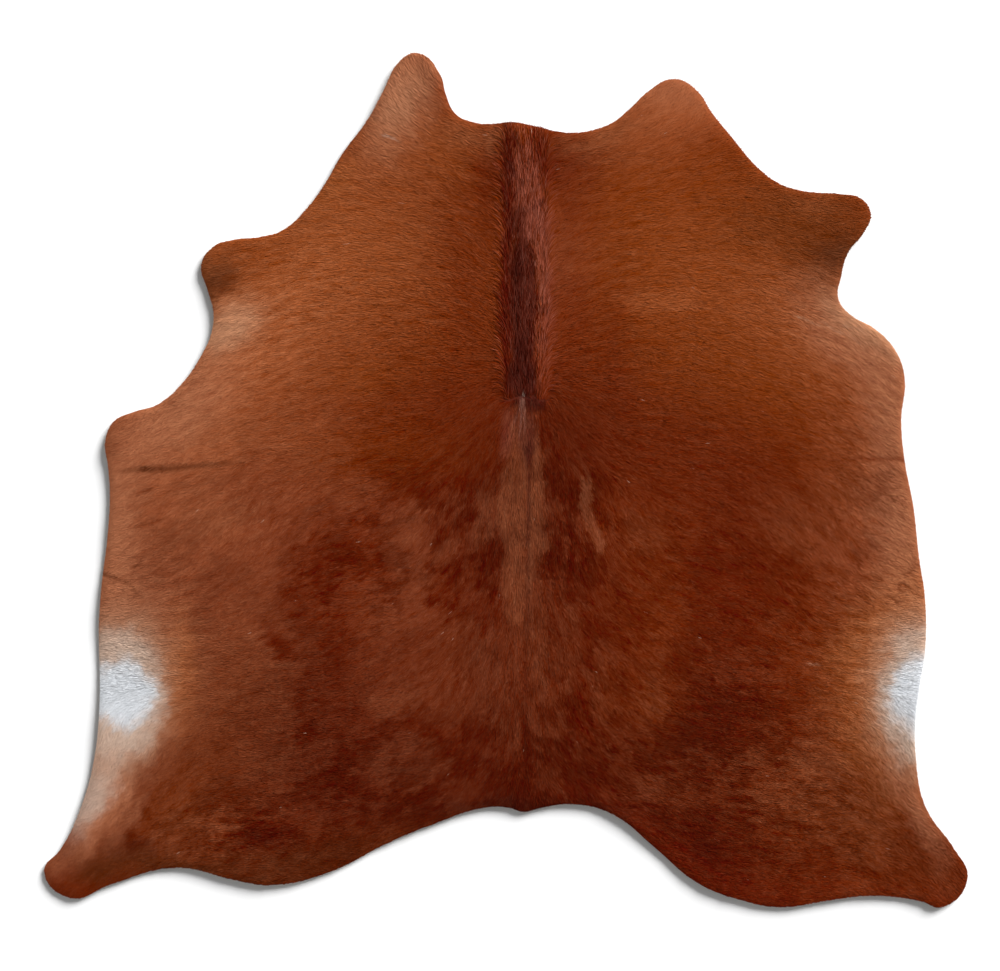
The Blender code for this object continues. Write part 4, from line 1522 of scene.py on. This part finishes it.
UNDERCOAT = HairKind("undercoat", 0.0034, 0.90, (0.0020, 0.0), (0.45, 0.75), 0.20, 10, 31)
GUARD_HAIR = HairKind("guard hair", 0.0031, 0.85, (0.0, 0.0013, 0.0), (0.50, 0.90, 0.97), 0.16, 10, 32)
MANE_HAIR = HairKind(
    "mane hair", 0.0027, 1.3, (0.0, 0.0014, 0.0014, 0.0), (0.7, 1.1, 1.25, 1.25), 0.22, 14, 33
)


@dataclass
class HairSet:
    """Hairs of one kind as arrays, one row for each hair and one column for each of its points."""

    kind: HairKind
    points: Array
    facing: Array
    tone: Array
    root: Array
    strand: Array
    nature: Array

    def kept(self, keep: Array) -> "HairSet":
        """Only the hairs that are kept."""
        parts = (self.points, self.facing, self.tone, self.root, self.strand, self.nature)
        return HairSet(self.kind, *(part[keep] for part in parts))

    def faces(self, offset: int) -> tuple[Array, Array]:
        """The corners of the hairs' faces.

        Args:
            offset: The number of the first point.

        Returns:
            The four-cornered faces and the three-cornered ones, one row each.
        """
        count, per_hair = self.points.shape[:2]
        start = offset + per_hair * np.arange(count)[:, None]
        stations = self.kind.stations()
        shapes = [near + far[::-1] for near, far in zip(stations, stations[1:])]
        sorted_out = []
        for size in (4, 3):
            chosen = [start + np.array(shape) for shape in shapes if len(shape) == size]
            sorted_out.append(np.concatenate(chosen) if chosen else np.zeros((0, size), int))
        return sorted_out[0], sorted_out[1]


@dataclass
class Coat:
    """The lying coat: hairs combed over the leather, in three parts on each side of the spine."""

    form: HideForm
    coat_map: CoatMap
    splits: tuple[float, float] = (0.22, -0.38)
    overhang: float = 0.0006
    tone_place: float = 0.6
    tone_stray: float = 0.0014
    roundness: float = 0.35
    length_spread: tuple[float, float] = (0.7, 1.25)
    stray: float = 7.0
    tries: int = 6
    shortening: float = 0.72
    mane_half_width: float = 0.056
    mane_seed: int = 51
    mane_start: float = 0.002
    mane_rear: float = 0.03
    mane_front: float = 0.02

    def grow(self, kind: HairKind) -> HairSet:
        """Grow one kind of hair all over the hide.

        Args:
            kind: The kind of hair.

        Returns:
            The hairs.
        """
        roots = self.form.scattered(kind.pitch, kind.seed)
        return self.grow_at(kind, roots)

    def grow_at(self, kind: HairKind, roots: Array) -> HairSet:
        """Grow one kind of hair at given places.

        Args:
            kind: The kind of hair.
            roots: Where each hair stands.

        Returns:
            The hairs.
        """
        chance = np.random.default_rng(kind.seed + 100)
        count, joints = len(roots), len(kind.widths) - 1
        length = self.coat_map.length(roots) * kind.length * chance.uniform(*self.length_spread, count)
        path = self._path(roots, length, joints, np.radians(chance.normal(0.0, self.stray, count)))
        path = self._kept_inside(roots, path)
        flat = path.reshape(-1, 2)
        skin = self.form.skin_top(flat).reshape(count, joints + 1)
        depth = self.form.coat_top(flat).reshape(count, joints + 1) - skin
        lift = 1.0 + kind.unevenness * chance.uniform(-1.0, 1.0, (count, 1))
        trough = self.coat_map.trough(flat).reshape(count, joints + 1)
        height = skin + depth * np.array(kind.heights) * lift - trough
        points, facing = self._ribbons(path, height, kind, np.radians(chance.normal(0.0, kind.roll, count)))
        facing[..., :2] += self.form.rounding(path.mean(axis=1))[:, None, :]
        shown = roots + self.tone_place * (path[:, -1] - roots)
        shown = shown + chance.normal(0.0, self.tone_stray, roots.shape)
        tone, nature = self.coat_map.look(shown)
        own = {"tone": tone, "root": np.column_stack([roots, np.zeros(count)]), "nature": nature}
        alike = {key: np.repeat(value[:, None, :], points.shape[1], axis=1) for key, value in own.items()}
        strand = self._strand_places(kind, chance.random(count))
        return HairSet(kind, points, facing, alike["tone"], alike["root"], strand, alike["nature"])

    def _path(self, roots: Array, length: Array, joints: int, stray: Array) -> Array:
        """Follow the comb from each root, one joint after the other.

        Args:
            roots: Where each hair stands.
            length: Each hair's length.
            joints: How many joints a hair has.
            stray: How far each hair strays from the comb, in radians.

        Returns:
            The places along each hair.
        """
        stations = [roots]
        for _ in range(joints):
            way = turned(self.coat_map.comb(stations[-1]), stray)
            stations.append(stations[-1] + way * (length / joints)[:, None])
        return np.stack(stations, axis=1)

    def _kept_inside(self, roots: Array, path: Array) -> Array:
        """Shorten the hairs whose tips would reach past the cut edge.

        Args:
            roots: Where each hair stands.
            path: The places along each hair.

        Returns:
            The places along each hair, drawn in.
        """
        offset = path - roots[:, None, :]
        share = np.ones(len(roots))
        for _ in range(self.tries):
            tips = roots + offset[:, -1] * share[:, None]
            outside = self.form.depth_inside(tips) < -self.overhang
            share = np.where(outside, share * self.shortening, share)
        return roots[:, None, :] + offset * share[:, None, None]

    def _ribbons(self, path: Array, height: Array, kind: HairKind, roll: Array) -> tuple[Array, Array]:
        """Give each path its width: a pair of points at each joint, and one at the tip.

        Args:
            path: Places along each hair.
            height: Height at each place.
            kind: The kind of hair.
            roll: How far each hair is turned about its own length.

        Returns:
            The points, and the way the round side of the hair faces at each of them.
        """
        run = path[:, -1] - path[:, 0]
        run /= np.maximum(np.linalg.norm(run, axis=1, keepdims=True), 1e-9)
        left = np.column_stack([-run[:, 1], run[:, 0]])
        points, facing = [], []
        for joint, width in enumerate(kind.widths):
            side = 0.5 * width * left * np.cos(roll)[:, None]
            rise = 0.5 * width * np.sin(roll)
            for sign in (1.0, -1.0) if width else (0.0,):
                place = path[:, joint] + sign * side
                points.append(np.column_stack([place, height[:, joint] + sign * rise]))
                tilt = (sign * self.roundness - np.sin(roll))[:, None] * left
                facing.append(np.column_stack([tilt, np.ones(len(roll))]))
        return np.stack(points, axis=1), np.stack(facing, axis=1)

    def mane(self) -> bpy.types.Object:
        """The longer hair along the spine, from the whorl to the neck.

        Returns:
            The piece.
        """
        roots = self.form.scattered(MANE_HAIR.pitch, self.mane_seed)
        across = np.abs(roots[:, 0] - SPINE_X)
        rear_end = np.clip((self.coat_map.past_whorl(roots) - self.mane_start) / self.mane_rear, 0.0, 1.0)
        front_end = np.clip((NECK_Y - roots[:, 1]) / self.mane_front, 0.0, 1.0)
        ends = rear_end * front_end
        reach = self.mane_half_width * (0.5 + 0.5 * np.sqrt(ends))
        keep = (across < reach) & (ends > 0.0)
        return hair_piece("mane", [self.grow_at(MANE_HAIR, roots[keep])], MANE_FINISH.material())

    @staticmethod
    def _strand_places(kind: HairKind, chance: Array) -> Array:
        """Where each point lies on its hair: across, along, and the hair's own chance.

        Args:
            kind: The kind of hair.
            chance: A random number for each hair.

        Returns:
            Three numbers for each point.
        """
        last = len(kind.widths) - 1
        places = []
        for joint, width in enumerate(kind.widths):
            for across in (1.0, -1.0) if width else (0.0,):
                places.append((across, joint / last))
        strand = np.empty((len(chance), len(places), 3))
        strand[..., :2] = np.array(places)
        strand[..., 2] = chance[:, None]
        return strand

    def build(self) -> list[bpy.types.Object]:
        """Make one piece for each part of the coat.

        Returns:
            The pieces.
        """
        sets = [self.grow(kind) for kind in (UNDERCOAT, GUARD_HAIR)]
        finish = CoatFinish().material()
        ends = (2.0, *self.splits, -2.0)
        pieces = []
        for part, front, rear in zip(("shoulder", "flank", "rump"), ends, ends[1:]):
            for side, outwards in (("left", -1.0), ("right", 1.0)):
                kept = []
                for hairs in sets:
                    root = hairs.root[:, 0]
                    beside = (root[:, 0] >= SPINE_X) == (outwards > 0)
                    kept.append(hairs.kept(beside & (root[:, 1] < front) & (root[:, 1] >= rear)))
                pieces.append(hair_piece(f"coat_{part}_{side}", kept, finish))
        return pieces


def joined_up(sets: list[HairSet], part: str) -> Array:
    """One part of several sets of hairs, one row for each point."""
    return np.concatenate([getattr(hairs, part).reshape(-1, 3) for hairs in sets])


def hair_piece(name: str, sets: list[HairSet], finish: bpy.types.Material) -> bpy.types.Object:
    """Join sets of hairs into one mesh.

    Args:
        name: The piece's name.
        sets: The hairs.
        finish: Their material.

    Returns:
        The new object.
    """
    fours, threes, offset = [], [], 0
    for hairs in sets:
        four, three = hairs.faces(offset)
        fours.append(four)
        threes.append(three)
        offset += hairs.points.shape[0] * hairs.points.shape[1]
    four, three = np.concatenate(fours), np.concatenate(threes)
    mesh = bpy.data.meshes.new(name)
    mesh.vertices.add(offset)
    points = joined_up(sets, "points")
    mesh.vertices.foreach_set("co", points.astype(np.float32).ravel())
    around = np.concatenate([four.ravel(), three.ravel()]).astype(np.int32)
    mesh.loops.add(len(around))
    mesh.loops.foreach_set("vertex_index", around)
    starts = np.concatenate([4 * np.arange(len(four)), 4 * len(four) + 3 * np.arange(len(three))])
    mesh.polygons.add(len(starts))
    mesh.polygons.foreach_set("loop_start", starts.astype(np.int32))
    mesh.update(calc_edges=True)
    carry(mesh, "tone", "FLOAT_COLOR", joined_up(sets, "tone"))
    for part in ("root", "strand", "nature"):
        carry(mesh, part, "FLOAT_VECTOR", joined_up(sets, part))
    chart = mesh.uv_layers.new(name="OFBake")
    low, high = points[:, :2].min(0), points[:, :2].max(0)
    placed = (points[around, :2] - low) / (high - low).max()
    chart.data.foreach_set("uv", (0.01 + 0.98 * placed).astype(np.float32).ravel())
    mesh.materials.append(finish)
    mesh.shade_smooth()
    facing = joined_up(sets, "facing")
    facing /= np.linalg.norm(facing, axis=1, keepdims=True)
    mesh.normals_split_custom_set_from_vertices(facing)
    return new_piece(name, mesh)


# ------------------------------------------------------------------ studio


@dataclass(frozen=True)
class Studio:
    """A pale floor, soft light and a camera straight above the hide."""

    lens: float = 85.0
    sensor: float = 36.0
    floor_side: float = 60.0
    floor_gap: float = 0.0003
    sky: float = 0.27
    key: float = 10.15
    key_height: float = 19.0
    key_bearing: float = 48.0
    key_softness: float = 40.0

    def build(self) -> None:
        """Make floor, light and camera."""
        self._floor()
        self._light()
        self._camera()

    def _floor(self) -> None:
        """Lay a big flat floor."""
        half = self.floor_side / 2
        ways = ((-1, -1), (1, -1), (1, 1), (-1, 1))
        places = [(x * half, y * half, -self.floor_gap) for x, y in ways]
        mesh = bpy.data.meshes.new("floor")
        mesh.from_pydata(places, [], [(0, 1, 2, 3)])
        mesh.materials.append(FloorFinish().material())
        new_piece("floor", mesh)

    def _light(self) -> None:
        """A broad key light from the upper right and even light from all round."""
        lamp = bpy.data.lights.new("key", "SUN")
        lamp.energy = self.key
        lamp.angle = math.radians(self.key_softness)
        key = bpy.data.objects.new("key", lamp)
        bearing, height = math.radians(self.key_bearing), math.radians(self.key_height)
        flat = math.cos(height)
        towards = Vector((math.cos(bearing) * flat, math.sin(bearing) * flat, math.sin(height)))
        key.rotation_mode = "QUATERNION"
        key.rotation_quaternion = towards.to_track_quat("Z", "Y")
        bpy.context.scene.collection.objects.link(key)
        world = bpy.data.worlds.new("studio")
        world.use_nodes = True
        backdrop = world.node_tree.nodes["Background"]
        backdrop.inputs["Color"].default_value = (1.0, 1.0, 1.0, 1.0)
        backdrop.inputs["Strength"].default_value = self.sky
        bpy.context.scene.world = world

    def _camera(self) -> None:
        """Look straight down, with the photograph's frame filled as in the photograph."""
        camera = bpy.data.cameras.new("camera")
        camera.lens = self.lens
        camera.sensor_width = self.sensor
        above = PHOTO_WIDTH * PIXEL * self.lens / self.sensor
        holder = bpy.data.objects.new("camera", camera)
        holder.location = (*VIEW_CENTRE, above)
        bpy.context.scene.collection.objects.link(holder)
        bpy.context.scene.camera = holder
        settings = bpy.context.scene.view_settings
        settings.view_transform = "Standard"
        settings.look = "None"


def main() -> None:
    """Build the rug's pieces in order and hand them to the frame."""
    logging.basicConfig(level=logging.INFO, format="%(message)s")
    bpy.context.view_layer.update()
    Studio().build()
    form = HideForm()
    coat_map = CoatMap()
    leather = Leather(form, coat_map).build()
    hair = Coat(form, coat_map)
    coat = [*hair.build(), hair.mane()]
    for piece in (leather, *coat):
        piece.data.calc_loop_triangles()
        LOG.info("%s: %d triangles", piece.name, len(piece.data.loop_triangles))
        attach(piece, BODY)
        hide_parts(NODE)


if __name__ == "__main__":
    main()
